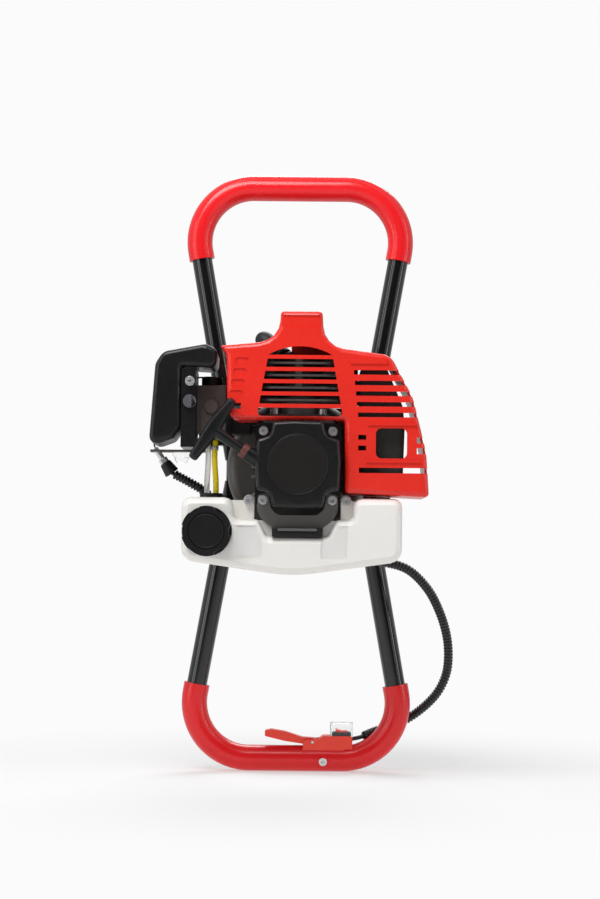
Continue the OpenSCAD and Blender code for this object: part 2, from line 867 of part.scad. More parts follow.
module cylinder_block() {
  color("#83868a")
    difference() {
      union() {
        translate([0, -cyl_at, case_top])
          linear_extrude(6)
            rounded_box(68, 56, 8);
        translate([0, -cyl_at, case_top])
          cylinder(h = head_top - case_top, r = bore_r + 4);
        for (i = [0 : fin_count - 1])
          translate([0, -cyl_at, fin_base + i * fin_pitch])
            linear_extrude(fin_t)
              rounded_box(2 * fin_half, 2 * fin_half, 18);
        block(-fin_half - 2, fin_half + 2, cyl_at - 15, cyl_at + 15, port_z - 13, port_z + 13);
        block(-3.5, 3.5, cyl_at + bore_r, cyl_at + fin_half - 4, fin_base + 2 * fin_pitch, head_top - 3);
        plug_line(-8)
          cylinder(h = 12, r = 12);
      }
      translate([0, -cyl_at, case_top - cut])
        cylinder(h = piston_top + 2.5 - case_top + cut, r = bore_r);
      translate([-fin_half - 3, -cyl_at, port_z])
        rotate([0, 90, 0])
          cylinder(h = 30, r = 9);
      translate([bore_r - 2, -cyl_at, port_z])
        rotate([0, 90, 0])
          cylinder(h = 30, r = 9);
      block(-fin_half - cut, fin_half + cut, cyl_at - fin_half - cut, fan_front + 0.8, fin_base - cut, fan_r + 2);
      plug_line(-14)
        cylinder(h = 20, r = plug_thread_r + clr);
      plug_line(4)
        cylinder(h = 30, r = boot_r + 1);
      for (x = head_bolts_x, y = head_bolts_y)
        translate([x, -cyl_at + y, case_top - cut])
          cylinder(h = 8, r = 3 + clr);
      for (x = head_bolts_x, y = head_bolts_y)
        translate([x, -cyl_at + y, case_top + 6])
          cylinder(h = fin_base - case_top - 6 - cut, r = 5);
    }
}

// The plug leans back and left out of the head
plug_dir = unit([-0.67, 0.40, 0.62]);
plug_seat = [-10, -cyl_at + 21, head_top - 2];
plug_turn = atan2(plug_dir.y, plug_dir.x);
plug_tilt = acos(plug_dir.z);
plug_thread_r = 6;
plug_nose_r = 5;
boot_r = 10.5;
module plug_line(t) {
  translate(plug_seat + plug_dir * t)
    rotate([0, plug_tilt, plug_turn])
      children();
}

module spark_plug() {
  color("#d8d8d4")
    plug_line(-9) {
      cylinder(h = 13, r = plug_thread_r);
      translate([0, 0, 13])
        cylinder(h = 9, r = 9, $fn = 6);
      translate([0, 0, 22])
        cylinder(h = 22, r = plug_nose_r);
    }
}

// A round tube swept through points, one ring of points at each place
function sweep_dir(p, i) =
  unit(p[min(i + 1, len(p) - 1)] - p[max(i - 1, 0)]);
function sweep_ring(c, d, r, n) =
  let (u = unit(cross(d, abs(d.y) < 0.9 ? [0, 1, 0] : [1, 0, 0])), w = cross(d, u))
  [for (k = [0 : n - 1]) c + r * (cos(360 * k / n) * u + sin(360 * k / n) * w)];
module swept(path, radii, n = 8) {
  polyhedron(
    [for (i = [0 : len(path) - 1]) each sweep_ring(path[i], sweep_dir(path, i), radii[i], n)],
    [[for (j = [0 : n - 1]) j],
    for (i = [0 : len(path) - 2], j = [0 : n - 1])
      [(i + 1) * n + j, (i + 1) * n + (j + 1) % n, i * n + (j + 1) % n, i * n + j],
    [for (j = [0 : n - 1]) len(path) * n - 1 - j]]);
}
// A smooth curve through knots, k steps between each pair
function curve_at(a, b, c, d, t) =
  0.5 * (2 * b + t * (c - a) + t * t * (2 * a - 5 * b + 4 * c - d) + t * t * t * (3 * b - a - 3 * c + d));
function curve(p, k) = [for (i = [0 : len(p) - 2], s = [0 : k - 1])
    curve_at(p[max(i - 1, 0)], p[i], p[i + 1], p[min(i + 2, len(p) - 1)], s / k), p[len(p) - 1]];

// The lead leaves the boot's underside and drops to the coil
lead_out = plug_seat + plug_dir * 40;
lead_dir = unit([-0.395, 0.517, -0.759]);
coil_x = -60;
coil_top = 51;
lead_y = -cyl_at + 20;
lead_knots = [
  lead_out + lead_dir * 6, lead_out + lead_dir * 16, [coil_x + 2, lead_y + 34, 106],
  [coil_x - 10, lead_y + 34, 90], [coil_x - 6, lead_y + 16, coil_top + 17],
  [coil_x, lead_y, coil_top + 9], [coil_x, lead_y, coil_top + 0.9]];

module plug_boot() {
  color("#141414") {
    difference() {
      plug_line(14) {
        cylinder(h = 40, r = boot_r);
        translate([0, 0, 40])
          cylinder(h = 10, r1 = boot_r, r2 = 6.5);
      }
      plug_line(10)
        cylinder(h = 26, r = plug_nose_r + clr);
    }
    swept(curve(lead_knots, 3), [for (i = [0 : 18]) 3.2]);
  }
}

module ignition_coil() {
  color("#17181a") {
    block(coil_x - 10, coil_x + 10, cyl_at - 28, cyl_at + 2, 34, coil_top);
    block(-51, -36 - clr, cyl_at - 24, cyl_at - 6, 36, 44);
  }
}

module muffler() {
  color("#1d1e20") {
    moulded([[63, -20, 9], [108, -20, 9], [110, 40, 20], [108, 62, 20], [90, 104, 9], [63, 106, 9]],
      fan_front + 12, shell_front - 14, 6, 6, 3, 2);
    block(fin_half + 2 + clr, 64, cyl_at - 15, cyl_at + 15, port_z - 13, port_z + 10);
  }
}

module intake_insulator() {
  color("#1c1c1d")
    difference() {
      block(-76, -fin_half - 2 - clr, cyl_at - 16, cyl_at + 16, port_z - 15, port_z + 13);
      translate([-77, -cyl_at, port_z])
        rotate([0, 90, 0])
          cylinder(h = 40, r = 9);
    }
}

// Shroud outline, anticlockwise from the lower left
shroud_foot = -32;
starter_gap = 46.5;
shroud_inner = 48.5;
tab_x = 2.5;
shroud_shape = [
  [-shroud_left, 45.5, 14], [shroud_inner - 1, starter_gap, 3], [shroud_inner, shroud_foot + 4, 4],
  [shroud_right, shroud_foot, 4], [shroud_right - 3, 14, 90], [shroud_right - 17, 70.5, 60],
  [shroud_right - 40.5, 114, 16], [tab_x + tab_w / 2 + 2, 123, 24], [tab_x + tab_w / 2, shroud_top, 4],
  [tab_x - tab_w / 2, shroud_top, 4], [tab_x - tab_w / 2 - 1, 128, 24], [-shroud_left - 8, 122.4, 1.5],
  [-shroud_left - 1.5, 112.5, 4]];
shroud_back = fan_front + 2;
// Radius of the shroud's front rim, and the depth of its parting line
shroud_rim = 5;
parting = 0.05;
// Front grille, by its top, foot and half widths
grille_top = 113;
grille_foot = 50;
grille_half_top = 33;
grille_half_foot = 44;
grille_x = 1.5;
grille_pitch = (grille_top - grille_foot) / grille_bars;
function grille_half(z) =
  grille_half_top + (grille_half_foot - grille_half_top) * (grille_top - z) / (grille_top - grille_foot);

module grille_openings() {
  arch = (grille_half_top * grille_half_top + 81) / 18;
  intersection() {
    translate([grille_x, grille_top + 9 - arch])
      circle(arch);
    translate([grille_x - 40, grille_top])
      square([80, 12]);
  }
  for (i = [0 : grille_bars - 1]) {
    up = grille_top - i * grille_pitch - grille_bar_t;
    low = i == grille_bars - 1 ? grille_foot : grille_top - (i + 1) * grille_pitch;
    soft = i == grille_bars - 1 ? 4 : 0.6;
    translate([grille_x, 0])
      polygon(outline([[-grille_half(low), low, soft], [grille_half(low), low, soft],
        [grille_half(up), up, 0.6], [-grille_half(up), up, 0.6]], 3));
  }
}

// Slots of the right side, which run on round the outer edge
slot_rows = 5;
slot_pitch = 10.9;
slot_h = 4.6;
slot_top = 98;
module side_openings() {
  past = shroud_right + 8;
  for (i = [0 : slot_rows - 1])
    translate([56.6 + i * 1.1, slot_top - i * slot_pitch - slot_h])
      square([past - 56.6, slot_h]);
  translate([62.4, -7.5])
    square([past - 62.4, 5.4]);
  for (z = [26.4, 15.4])
    translate([shroud_right - 13, z - 3.1])
      square([24, 6.2]);
  translate([95.5, 23])
    rounded_box(32, 31, 6);
  for (z = [29, 18])
    translate([65.5, z])
      square([8.2, 5], center = true);
  translate([-68, 57])
    square([9, 6]);
}

module shroud() {
  color("#c8281a")
    difference() {
      union() {
        side_wall(shroud_shape, shroud_back, shell_front, shroud_rim, shroud_wall);
        slab(shell_front - shroud_wall + 0.2, shell_front)
          polygon(outline(shrunk(shroud_shape, shroud_rim - 0.3)));
        slab(shroud_back + 0.3, shroud_back + shroud_wall)
          intersection() {
            polygon(outline(shrunk(shroud_shape, 0.6)));
            translate([-64, 121.8])
              square([130, 40]);
          }
        slab(shell_front - 0.6, shell_front + 1.6) {
          translate([72, 107])
            square([38, 5], center = true);
          translate([96, 42.5])
            square([50, 2.4], center = true);
          translate([97, 4.5])
            square([56, 2.4], center = true);
        }
      }
      slab(shell_front - 12, shell_front + 2)
        grille_openings();
      slab(shell_front - 14, shell_front + 2)
        side_openings();
      slab(shell_front - 1.4, shell_front + 2)
        translate([tab_x, 148])
          rounded_box(40, 12, 1.5);
      for (i = [0 : 3])
        slab(shell_front - 1.2, shell_front + 2)
          translate([-58.4 - i * 1.9, 106 - i * 11.3])
            rounded_box(14, 8, 3);
      block(-42, 41, shroud_back - cut, shell_front - 8, 40, 56);
      block(-shroud_left - 6, -shroud_left + 8, shroud_back - cut, cyl_at + 19, port_z - 18, port_z + 16);
      block(-shroud_left - 2, -36, shroud_back - cut, cyl_at + 6, 40, 54);
      block(plug_seat.x - 42, plug_seat.x + 2, shroud_back - cut, -plug_seat.y + 8,
        head_top - 4, head_top + 40);
    }
}

// Cable stay behind the filter, and the throttle lever
stay_back = fan_front - 8;
stay_z = 16;
stay_t = 2.5;
lever_x = -91;
lever_rest = 74;
lever_reach = 14;
module carburettor() {
  color("#a4a6a8")
    difference() {
      union() {
        block(-base_right, -76, cyl_at - carb_half, cyl_at + carb_half, 34, port_z + 4);
        block(-102, -80, cyl_at - 12, cyl_at + 18, 28, 60);
        translate([lever_x, -cyl_at - 16, 62])
          rotate([90, 0, 0])
            cylinder(h = 5, r = 7);
        block(-157, -98.4, stay_back, stay_back + 17, stay_z, stay_z + stay_t);
        block(-105, -98.4, stay_back + 8, cyl_at - carb_half + 2, stay_z, 42);
      }
      translate([-base_right - 1, -cyl_at, port_z])
        rotate([0, 90, 0])
          cylinder(h = 40, r = 9);
      translate([lever_x, -cyl_at, port_z - 8])
        cylinder(h = 30, r = 6 + run);
      on_boot(boot_len + 6)
        cylinder(h = 20, r = thread_r + clr);
    }
}

module carb_lever() {
  color("#121314") {
    translate([lever_x, -cyl_at, port_z + 4 + clr])
      linear_extrude(9)
        rotate(lever_rest)
          difference() {
            union() {
              circle(11);
              translate([0, -4.5])
                square([lever_reach + 4, 9]);
            }
            translate([lever_reach, 0])
              circle(1.6);
          }
    translate([lever_x, -cyl_at, port_z - 7])
      cylinder(h = 12, r = 6);
  }
}

module primer_bulb() {
  color("#c9c7bd")
    translate([-124, -stay_back - 9, stay_z - clr])
      rotate([180, 0, 0]) {
        cylinder(h = 4, r = 9.5);
        translate([0, 0, 4])
          cylinder(h = 7, r1 = 8.5, r2 = 5.5);
      }
}

// Filter cover outline, anticlockwise from the lower left
filter_shape = [
  [-filter_left, 17, 8], [-base_left - 8, 26, 8], [-base_left - 0.4, 37, 8], [-base_left - 0.4, 101.5, 2.5],
  [-85, 99.5, 7], [-84, 119, 8], [-96, 124.6, 10], [-140, 116.5, 14], [-filter_left + 6, 104, 14]];

module filter_cover() {
  color("#1a1b1c")
    difference() {
      moulded(filter_shape, filter_back, filter_front, 5, 3, middle = [-base_left - 11, 108]);
      slab(filter_back + filter_wall, filter_front - filter_wall)
        polygon(outline(shrunk(filter_shape, filter_wall)));
      block(-base_left - 6, -base_left + 4, filter_back + 8, filter_front - 8, 44, 101);
    }
}

module filter_base() {
  color("#222325")
    difference() {
      union() {
        block(-base_left, -base_right - clr, filter_back + 2, filter_front - 4, 18, 99.2);
        block(-base_left - 3.6, -base_left + 1, filter_back + 12, filter_front - 12, 48, 90);
      }
      translate([-base_left - 6, -cyl_at, port_z])
        rotate([0, 90, 0])
          cylinder(h = 30, r = 9);
      rod(filter_front - 12, filter_front, screw_r + clr, filter_screw_x, filter_screw_z);
      rod(filter_front - 14, filter_front, 2.5 + run, choke_x, choke_z);
    }
}

module filter_element() {
  color("#c9b48a")
    difference() {
      block(-filter_left + 11, -base_left - 3.6 - clr, filter_back + 8.5, filter_front - 8.5, 46, 92);
      for (i = [0 : 6]) {
        pleat = filter_back + 12 + i * 7;
        block(-filter_left + 10, -filter_left + 16, pleat, pleat + 3, 45, 93);
      }
    }
}

choke_x = -112;
choke_z = 65;
module choke_lever() {
  color("#9ea09f") {
    rod(filter_front - 13, filter_front - 3, 2.5, choke_x, choke_z);
    rod(filter_front - 3.7, filter_front - 0.5, 6.8, choke_x, choke_z);
    block(choke_x - 2, choke_x + 2, filter_front - 3.7, filter_front + 2, choke_z - 6, choke_z + 6);
  }
}

// Tank outline, anticlockwise from the lower left
tank_left = -tank_w / 2 - 5.7;
tank_right = tank_w / 2 - 5.7;
tank_ends = tank_bottom - 16;
saddle = -56;
hook_z = -66;
pad_floor = hook_z - 7.4;
ear_foot = tank_ear_r - 0.2;
lobe_x = tank_ear_x + 7;
hook_back = shell_front - 14;
tank_shape = [
  [tank_left, -tank_ends, 14], [-6, -tank_bottom, 160], [tank_right, -tank_ends, 14],
  [tank_right, -tank_top, 9], [lobe_x, -tank_top, 9], [lobe_x, saddle, 6], [40, saddle, 4], [31, pad_floor, 4],
  [-31, pad_floor, 4], [-40, saddle, 4], [-66, saddle, 6], [-66, -tank_top, 9], [tank_left, -tank_top, 10]];
tank_back = fan_front + 5;
tank_rim = 7;
cap_x = tank_left + cap_d / 2 + 1.2;
cap_z = -68.5;
neck_rad = 19;
neck_h = 8;

module fuel_tank() {
  color("#e9e7df")
    difference() {
      union() {
        side_wall(tank_shape, tank_back, shell_front, tank_rim, tank_wall + 1.5, tank_rim, 3, 2);
        for (from = [tank_back, shell_front - tank_wall])
          slab(from, from + tank_wall)
            polygon(outline(shrunk(tank_shape, tank_rim - 0.3), 3));
        slab(tank_back + 6, flange_front - 1)
          polygon([[-43, saddle - 0.6], [-34, pad_floor - 2], [34, pad_floor - 2], [43, saddle - 0.6]]);
        rod(shell_front - 2, shell_front + neck_h, neck_rad, cap_x, cap_z);
        for (x = [-1, 1])
          difference() {
            union() {
              rod(case_front, case_front + 6, tank_ear_r, x * tank_ear_x, tank_ear_z);
              block(x > 0 ? tank_ear_x - ear_foot : -tank_ear_x - 20,
                x > 0 ? tank_ear_x + 9 : -tank_ear_x + ear_foot,
                case_front, case_front + 6, saddle - 2, tank_ear_z);
            }
            rod(case_front - cut, case_front + 8, screw_r + clr, x * tank_ear_x, tank_ear_z);
          }
      }
      rod(shell_front - 8, shell_front + neck_h + cut, neck_rad - 3, cap_x, cap_z);
      for (s = [[-62, -36], [24, 52]])
        block(s[0], s[1], shell_front - 1.5, shell_front + 2, -96, -62);
      translate([grommet_x, -cyl_at - 4, -tank_top - 8])
        cylinder(h = 12, r = 9.5);
    }
}

module fuel_cap() {
  color("#141516")
    difference() {
      rod(shell_front + 3, shell_front + 21, cap_d / 2, cap_x, cap_z);
      rod(shell_front + 2, shell_front + neck_h + 2.5, neck_rad + 0.3, cap_x, cap_z);
      for (i = [0 : cap_grips - 1])
        rotate_about(cap_x, cap_z, i * 360 / cap_grips)
          rod(shell_front + 6, shell_front + 22, 11, cap_x + cap_d / 2 + 8, cap_z);
      ring(shell_front + 19, shell_front + 22, 19, 17, cap_x, cap_z);
    }
}
module rotate_about(x, z, a) {
  translate([x, 0, z])
    rotate([0, a, 0])
      translate([-x, 0, -z])
        children();
}

grommet_x = -90.5;
line_r = 3;
line_gap = 4;
line_top = 28;
module tank_grommet() {
  color("#101011")
    difference() {
      translate([grommet_x, -cyl_at - 4, -tank_top - 7]) {
        cylinder(h = 8, r = 9.5 - clr);
        translate([0, 0, 7.2])
          cylinder(h = 5, r = 12);
      }
      for (x = [-1, 1])
        translate([grommet_x + x * line_gap, -cyl_at - 4, -tank_top - 10])
          cylinder(h = 20, r = line_r + clr);
    }
}

module fuel_line(x) {
  difference() {
    translate([x, -cyl_at - 4, -tank_top - 6])
      cylinder(h = line_top + tank_top + 6 - clr, r = line_r);
    translate([x, -cyl_at - 4, -tank_top - 7])
      cylinder(h = line_top + tank_top + 8, r = 1.5);
  }
}

module return_line() {
  color("#d9dad6")
    fuel_line(grommet_x - line_gap);
}

module supply_line() {
  color("#d3c23a")
    fuel_line(grommet_x + line_gap);
}

// Bracket that hangs the tank from the lower starter screws
bracket_t = 2.5;
bracket_shape = [
  [-41, -30, 4], [-42, -52, 20], [-24, hook_z + 0.3, 3], [24, hook_z + 0.3, 3], [42, -52, 20], [41, -30, 4],
  [30, -28, 3], [27, -45, 6], [20, -51, 10], [-20, -51, 10], [-27, -45, 6], [-30, -28, 3]];
module tank_bracket() {
  color("#8b8e91")
    difference() {
      union() {
        slab(flange_front, flange_front + bracket_t)
          polygon(outline(bracket_shape, 8));
        block(-20, 20, hook_back + clr, shell_front + 4, hook_z - 1.6, hook_z + 1);
      }
      for (x = [-1, 1])
        rod(flange_front - cut, flange_front + 4, screw_r + clr, x * screw_square, -screw_square);
    }
}

pad_back = flange_front + bracket_t + clr;
module bracket_pad() {
  color("#121212")
    difference() {
      block(-26, 26, pad_back, shell_front + 2, pad_floor, hook_z + 1.4);
      block(-20 - clr, 20 + clr, shell_front - 20, shell_front + 8, hook_z - 1.6 - clr, hook_z + 3);
    }
}

module socket_screw(seat, x, z, long) {
  difference() {
    union() {
      rod(seat - long, seat, screw_r, x, z);
      rod(seat, seat + 1, 5, x, z);
      rod(seat + 1, seat + 6, 4.25, x, z);
    }
    rod(seat + 3, seat + 7, 2.3, x, z, $fn = 6);
  }
}

module engine_screws() {
  color("#c3c6c9") {
    for (x = head_bolts_x, y = head_bolts_y)
      translate([x, -cyl_at + y, 0])
        rotate([-90, 0, 0])
          socket_screw(case_top + 6, 0, 0, 15);
    for (x = [-1, 1]) {
      socket_screw(flange_front, x * screw_square, screw_square, flange_t + 10);
      socket_screw(flange_front + bracket_t, x * screw_square, -screw_square, flange_t + bracket_t + 10);
      socket_screw(case_front + 6, x * tank_ear_x, tank_ear_z, 18);
    }
    socket_screw(filter_front - 4, filter_screw_x, filter_screw_z, 8);
  }
}

// Starter cover outline with a notch at each screw
starter_tall = starter_half + 1.5;
notch = 28.5;
starter_shape = [
  [starter_half, -26, 4], [starter_half + 1.6, 0, 60], [starter_half, 26, 4], [notch, notch, 8],
  [26, starter_tall, 4], [0, starter_tall + 1.2, 60], [-26, starter_tall, 4], [-notch, notch, 8],
  [-starter_half, 26, 4], [-starter_half - 1.6, 0, 60], [-starter_half, -26, 4], [-notch, -notch, 8],
  [-26, -starter_tall, 4], [0, -starter_tall - 1.2, 60], [26, -starter_tall, 4], [notch, -notch, 8]];

module starter_cover() {
  color("#17181a")
    difference() {
      union() {
        moulded(starter_shape, flange_front - 2, cover_front, 4, 0, 3, 3, middle = [0, 0]);
        slab(case_front, flange_front)
          rounded_box(2 * starter_half + 4, 2 * starter_half + 4, 9);
        on_rope(24)
          cylinder(h = collar_start - 24, r = 8);
      }
      rod(case_front - cut, cover_front - 3, 33);
      on_rope(0)
        cylinder(h = collar_start + cut, r = rope_d / 2 + 0.8);
      for (x = [-1, 1], z = [-1, 1])
        rod(case_front - cut, flange_front + cut, screw_r + clr, x * screw_square, z * screw_square);
    }
  color("#17181a")
    rod(rope_at - pulley_w / 2 - 1, cover_front - 2, spindle_r);
}

module starter_disc() {
  color("#202124")
    rod(cover_front, cover_front + 1, disc_d / 2);
}

module rope_guide() {
  color("#5a2f28")
    on_rope(collar_start)
      difference() {
        cylinder(h = collar_len, r = 7.5);
        translate([0, 0, -cut])
          cylinder(h = collar_len + 2, r = rope_d / 2 + 0.6);
      }
}

module starter_pulley() {
  color("#d8d5c8")
    difference() {
      rod(rope_at - pulley_w / 2, rope_at + pulley_w / 2, rope_r + 5);
      rod(rope_at - pulley_w, rope_at + pulley_w, spindle_r + run);
      ring(rope_at - pulley_w / 2 + 2, rope_at + pulley_w / 2 - 2, rope_r + 6, rope_r - rope_d / 2 - 0.4);
    }
}

module starter_handle() {
  color("#141516")
    difference() {
      union() {
        on_rope(stem_start)
          cylinder(h = stem_len + 3, r1 = 4.4, r2 = 6);
        on_rope(stem_start + stem_len + 8)
          pull_grip();
      }
      on_rope(stem_start - cut)
        cylinder(h = 24 + cut, r = rope_d / 2 + clr);
    }
}

// The grip bar lies across the pull, flat ends a little narrower
pull_grip_t = 11;
module pull_grip() {
  half = pull_bar / 2;
  translate([0, pull_grip_t / 2, 0])
    moulded([[-half, -4.5, 3], [0, -8, 60], [half, -4.5, 3], [half, 4.5, 3], [0, 8, 60], [-half, 4.5, 3]],
      0, pull_grip_t, 4, 4, 3, 2);
}

module starter_rope() {
  color("#b5b0a2")
    on_rope(2)
      cylinder(h = stem_start + 20, r = rope_d / 2);
}

// Throttle control on the lower bar
// Rise of the grip at the housing's end, where the bend has begun
bend_rise = bend_r - sqrt(bend_r * bend_r - pow(housing_right - bar_half, 2)) + clr;
module grip_space() {
  translate([-100, -tube_at, -bar_height])
    rotate([0, 90, 0])
      cylinder(h = 200, r = grip_r + clr);
  translate([bar_half + 2, -tube_at, -bar_height + bend_rise])
    rotate([0, 90, 0])
      cylinder(h = 60, r = grip_r + clr);
}

module throttle_housing() {
  color("#c8201c")
    difference() {
      slab(tube_at - housing_w / 2, tube_at + housing_w / 2)
        polygon(outline([[housing_left, -bar_height + 6, 2], [housing_right, -bar_height + 6, 2],
          [housing_right, housing_top - 1, 3], [30, housing_top - 1, 3], [26, housing_top - 4, 3],
          [housing_left, housing_top - 6, 4]]));
      grip_space();
      slab(tube_at - trigger_w / 2 - 0.5, tube_at + trigger_w / 2 + 0.5)
        translate([housing_left - 2, bar_top - 2])
          square([20, 20]);
      rod(tube_at - housing_w, tube_at + housing_w, pin_r + clr, pin_x, pin_z);
      translate([housing_right - 12, -tube_at, cable_z])
        rotate([0, 90, 0])
          cylinder(h = 14, r = cable_d / 2 + clr);
    }
}
cable_z = bar_top + 7.4;

module throttle_trigger() {
  color("#d42a1e")
    difference() {
      slab(tube_at - trigger_w / 2, tube_at + trigger_w / 2)
        polygon(outline([[pin_x - trigger_len, bar_top + 10, 1.4], [pin_x - 30, bar_top + 4.8, 20],
          [pin_x - 6, bar_top + 1.4, 4], [pin_x + 4.4, bar_top + 1.4, 3], [pin_x + 4.4, pin_z + 4, 3],
          [pin_x - 11, bar_top + 9.2, 10], [pin_x - 30, bar_top + 15.2, 20],
          [pin_x - trigger_len + 7, bar_top + 17.6, 5], [pin_x - trigger_len, bar_top + 16, 1.2]]));
      rod(tube_at - trigger_w, tube_at + trigger_w, pin_r + run, pin_x, pin_z);
    }
}

module trigger_pin() {
  color("#c9ccce")
    rod(tube_at - housing_w / 2 - 0.6, tube_at + housing_w / 2 + 0.6, pin_r, pin_x, pin_z);
}

bezel_z = housing_top - 1;
module switch_bezel() {
  color("#0f1011")
    difference() {
      translate([switch_x, -tube_at, bezel_z])
        linear_extrude(4)
          rounded_box(switch_w, housing_w - 4, 2);
      translate([switch_x, -tube_at, bezel_z + 1])
        linear_extrude(4)
          square([14.6, 11.4], center = true);
    }
}

rocker_z = bezel_z + 4.6;
module switch_rocker() {
  color("#d11f1f")
    slab(tube_at - 5.4, tube_at + 5.4)
      translate([switch_x, rocker_z])
        polygon([[-5.6, -2.6], [0, -3.2], [5.6, -2.6], [6.6, 1.2], [0, 0.8], [-6.6, 3.4]]);
}

module switch_cap() {
  color("#cfd4d6")
    difference() {
      translate([switch_x, -tube_at, bezel_z])
        linear_extrude(14)
          rounded_box(switch_w + 4, housing_w, 3);
      translate([switch_x, -tube_at, bezel_z - cut])
        linear_extrude(13.6 + cut)
          rounded_box(switch_w + 2 * clr, housing_w - 4 + 2 * clr, 2);
    }
}

adjuster_top = [-151.5, -stay_back - 8.5, stay_z + 3];
boot_from = [-134, -stay_back - 9, stay_z - 22];
boot_dir = unit(adjuster_top - boot_from);
boot_len = 13;
thread_r = 3.2;

// Cable route from the switch, up the right side, behind the tank to the carburettor
bend_x = bar_half;
bar_y = -tube_at;
behind = -fan_front + 4;
route = [
  [housing_right, bar_y, cable_z], [housing_right + 10, bar_y + 3, cable_z + 2],
  [bend_x + 37, bar_y + 16, bar_top + 14.5], [bend_x + 53, bar_y + 20, bar_top + 19.5],
  [bend_x + 71, bar_y + 20, bar_top + 27.5], [bend_x + 89, bar_y + 14, bar_top + 41],
  [bend_x + 104, bar_y + 6, bar_top + 58], [bend_x + 113, bar_y, bar_top + 78],
  [166, bar_y - 8, -200], [163, bar_y - 16, -176], [154, bar_y - 26, -150], [140, bar_y - 38, -126],
  [118, behind + 18, -106], [88, behind + 10, -98], [54, behind + 6, -94], [18, behind + 4, -92],
  [-20, behind + 2, -90], [-54, behind, -80], [-74, behind, -61], [-86, behind - 1, -42],
  [-98, behind - 3, -26.5], [-115, behind - 5, -16], boot_from];
wire = [
  boot_from + boot_dir * 8, adjuster_top, adjuster_top + [-2, -1, 12], [-150, -stay_back - 11, 50],
  [-132, -stay_back - 13, 74], [-112, -stay_back - 15, port_z + 13], [-100, -stay_back - 19, port_z + 15.4],
  [lever_x + 3, -cyl_at + 13.5, port_z + 14.8]];
line_pts = curve(route, 5);
seg_len = [for (i = [0 : len(line_pts) - 2]) norm(line_pts[i + 1] - line_pts[i])];
function run_len(i) = i == 0 ? 0 : run_len(i - 1) + seg_len[i - 1];
marks = [for (i = [0 : len(line_pts) - 1]) run_len(i)];
route_len = marks[len(marks) - 1];
function place(s, i = 0) =
  i >= len(line_pts) - 2 || marks[i + 1] >= s
    ? line_pts[i] + (line_pts[i + 1] - line_pts[i]) * (s - marks[i]) / seg_len[i]
    : place(s, i + 1);
conduit_start = 14;
conduit_end = route_len - 2;
rib_count = floor((conduit_end - conduit_start) / rib_pitch);

// A ribbed tube with its bore, as one closed skin
module cable_conduit() {
  n = 8;
  skin = [for (i = [0 : 2 * rib_count]) conduit_start + i * rib_pitch / 2];
  last = skin[len(skin) - 1];
  bore_steps = 44;
  hole = [for (i = [0 : bore_steps]) conduit_start + (last - conduit_start) * i / bore_steps];
  skin_at = [for (q = skin) place(q)];
  hole_at = [for (q = hole) place(q)];
  base = len(skin) * n;
  color("#101112")
    polyhedron(
      [for (i = [0 : len(skin) - 1])
        each sweep_ring(skin_at[i], sweep_dir(skin_at, i), conduit_d / 2 - (i % 2 == 0 ? 0 : 1.1), n),
      for (i = [0 : bore_steps])
        each sweep_ring(hole_at[i], sweep_dir(hole_at, i), cable_d / 2 + 0.5, n)],
      [for (i = [0 : len(skin) - 2], j = [0 : n - 1])
        [(i + 1) * n + j, (i + 1) * n + (j + 1) % n, i * n + (j + 1) % n, i * n + j],
      for (i = [0 : bore_steps - 1], j = [0 : n - 1])
        [base + i * n + j, base + i * n + (j + 1) % n,
          base + (i + 1) * n + (j + 1) % n, base + (i + 1) * n + j],
      for (j = [0 : n - 1])
        [j, (j + 1) % n, base + (j + 1) % n, base + j],
      for (j = [0 : n - 1])
        [base + bore_steps * n + j, base + bore_steps * n + (j + 1) % n,
          (len(skin) - 1) * n + (j + 1) % n, (len(skin) - 1) * n + j]]);
}

module throttle_cable() {
  far = [for (s = [-8 : 11 : route_len]) s < 0 ? route[0] + [s, 0, 0] : place(s)];
  thin = curve(wire, 3);
  color("#0d0d0e")
    swept(concat(far, thin),
      [for (p = far) cable_d / 2, for (i = [1 : len(thin)]) i < 4 ? cable_d / 2 - 0.8 : 0.9]);
}

module on_boot(t) {
  translate(boot_from + boot_dir * t)
    rotate([0, acos(boot_dir.z), atan2(boot_dir.y, boot_dir.x)])
      children();
}
module cable_boot() {
  color("#55585a")
    difference() {
      on_boot(0)
        cylinder(h = boot_len, r1 = 8, r2 = 6);
      on_boot(-2)
        cylinder(h = boot_len + 4, r = 3.2);
      on_boot(-1)
        cylinder(h = 5, r = conduit_d / 2 + 0.6);
    }
}

module cable_adjuster() {
  color("#c5c8ca")
    difference() {
      union() {
        on_boot(boot_len + 0.2)
          cylinder(h = 5, r = 5, $fn = 6);
        on_boot(boot_len + 5)
          cylinder(h = 14, r = thread_r);
      }
      on_boot(boot_len - 2)
        cylinder(h = 24, r = 2.1);
    }
}

upper_tube();
lower_tube();
upper_grip();
lower_grip();
grip_screw();
frame_plate();
tube_clamps();
frame_bolts();
gearbox_case();
gearbox_cover();
output_shaft();
layshaft();
clutch_drum();
bearings();
oil_seal();
fan_housing();
flywheel();
clutch_shoes();
crankshaft();
connecting_rod();
piston();
crankcase();
cylinder_block();
spark_plug();
plug_boot();
ignition_coil();
muffler();
intake_insulator();
shroud();
carburettor();
carb_lever();
primer_bulb();
filter_cover();
filter_base();
filter_element();
choke_lever();
fuel_tank();
fuel_cap();
tank_grommet();
return_line();
supply_line();
tank_bracket();
bracket_pad();
engine_screws();
starter_cover();
starter_disc();
rope_guide();
starter_pulley();
starter_handle();
starter_rope();
throttle_housing();
throttle_trigger();
trigger_pin();
switch_bezel();
switch_rocker();
switch_cap();
cable_conduit();
throttle_cable();
cable_boot();
cable_adjuster();
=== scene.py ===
import json
import math

import bpy
from mathutils import Matrix, Vector


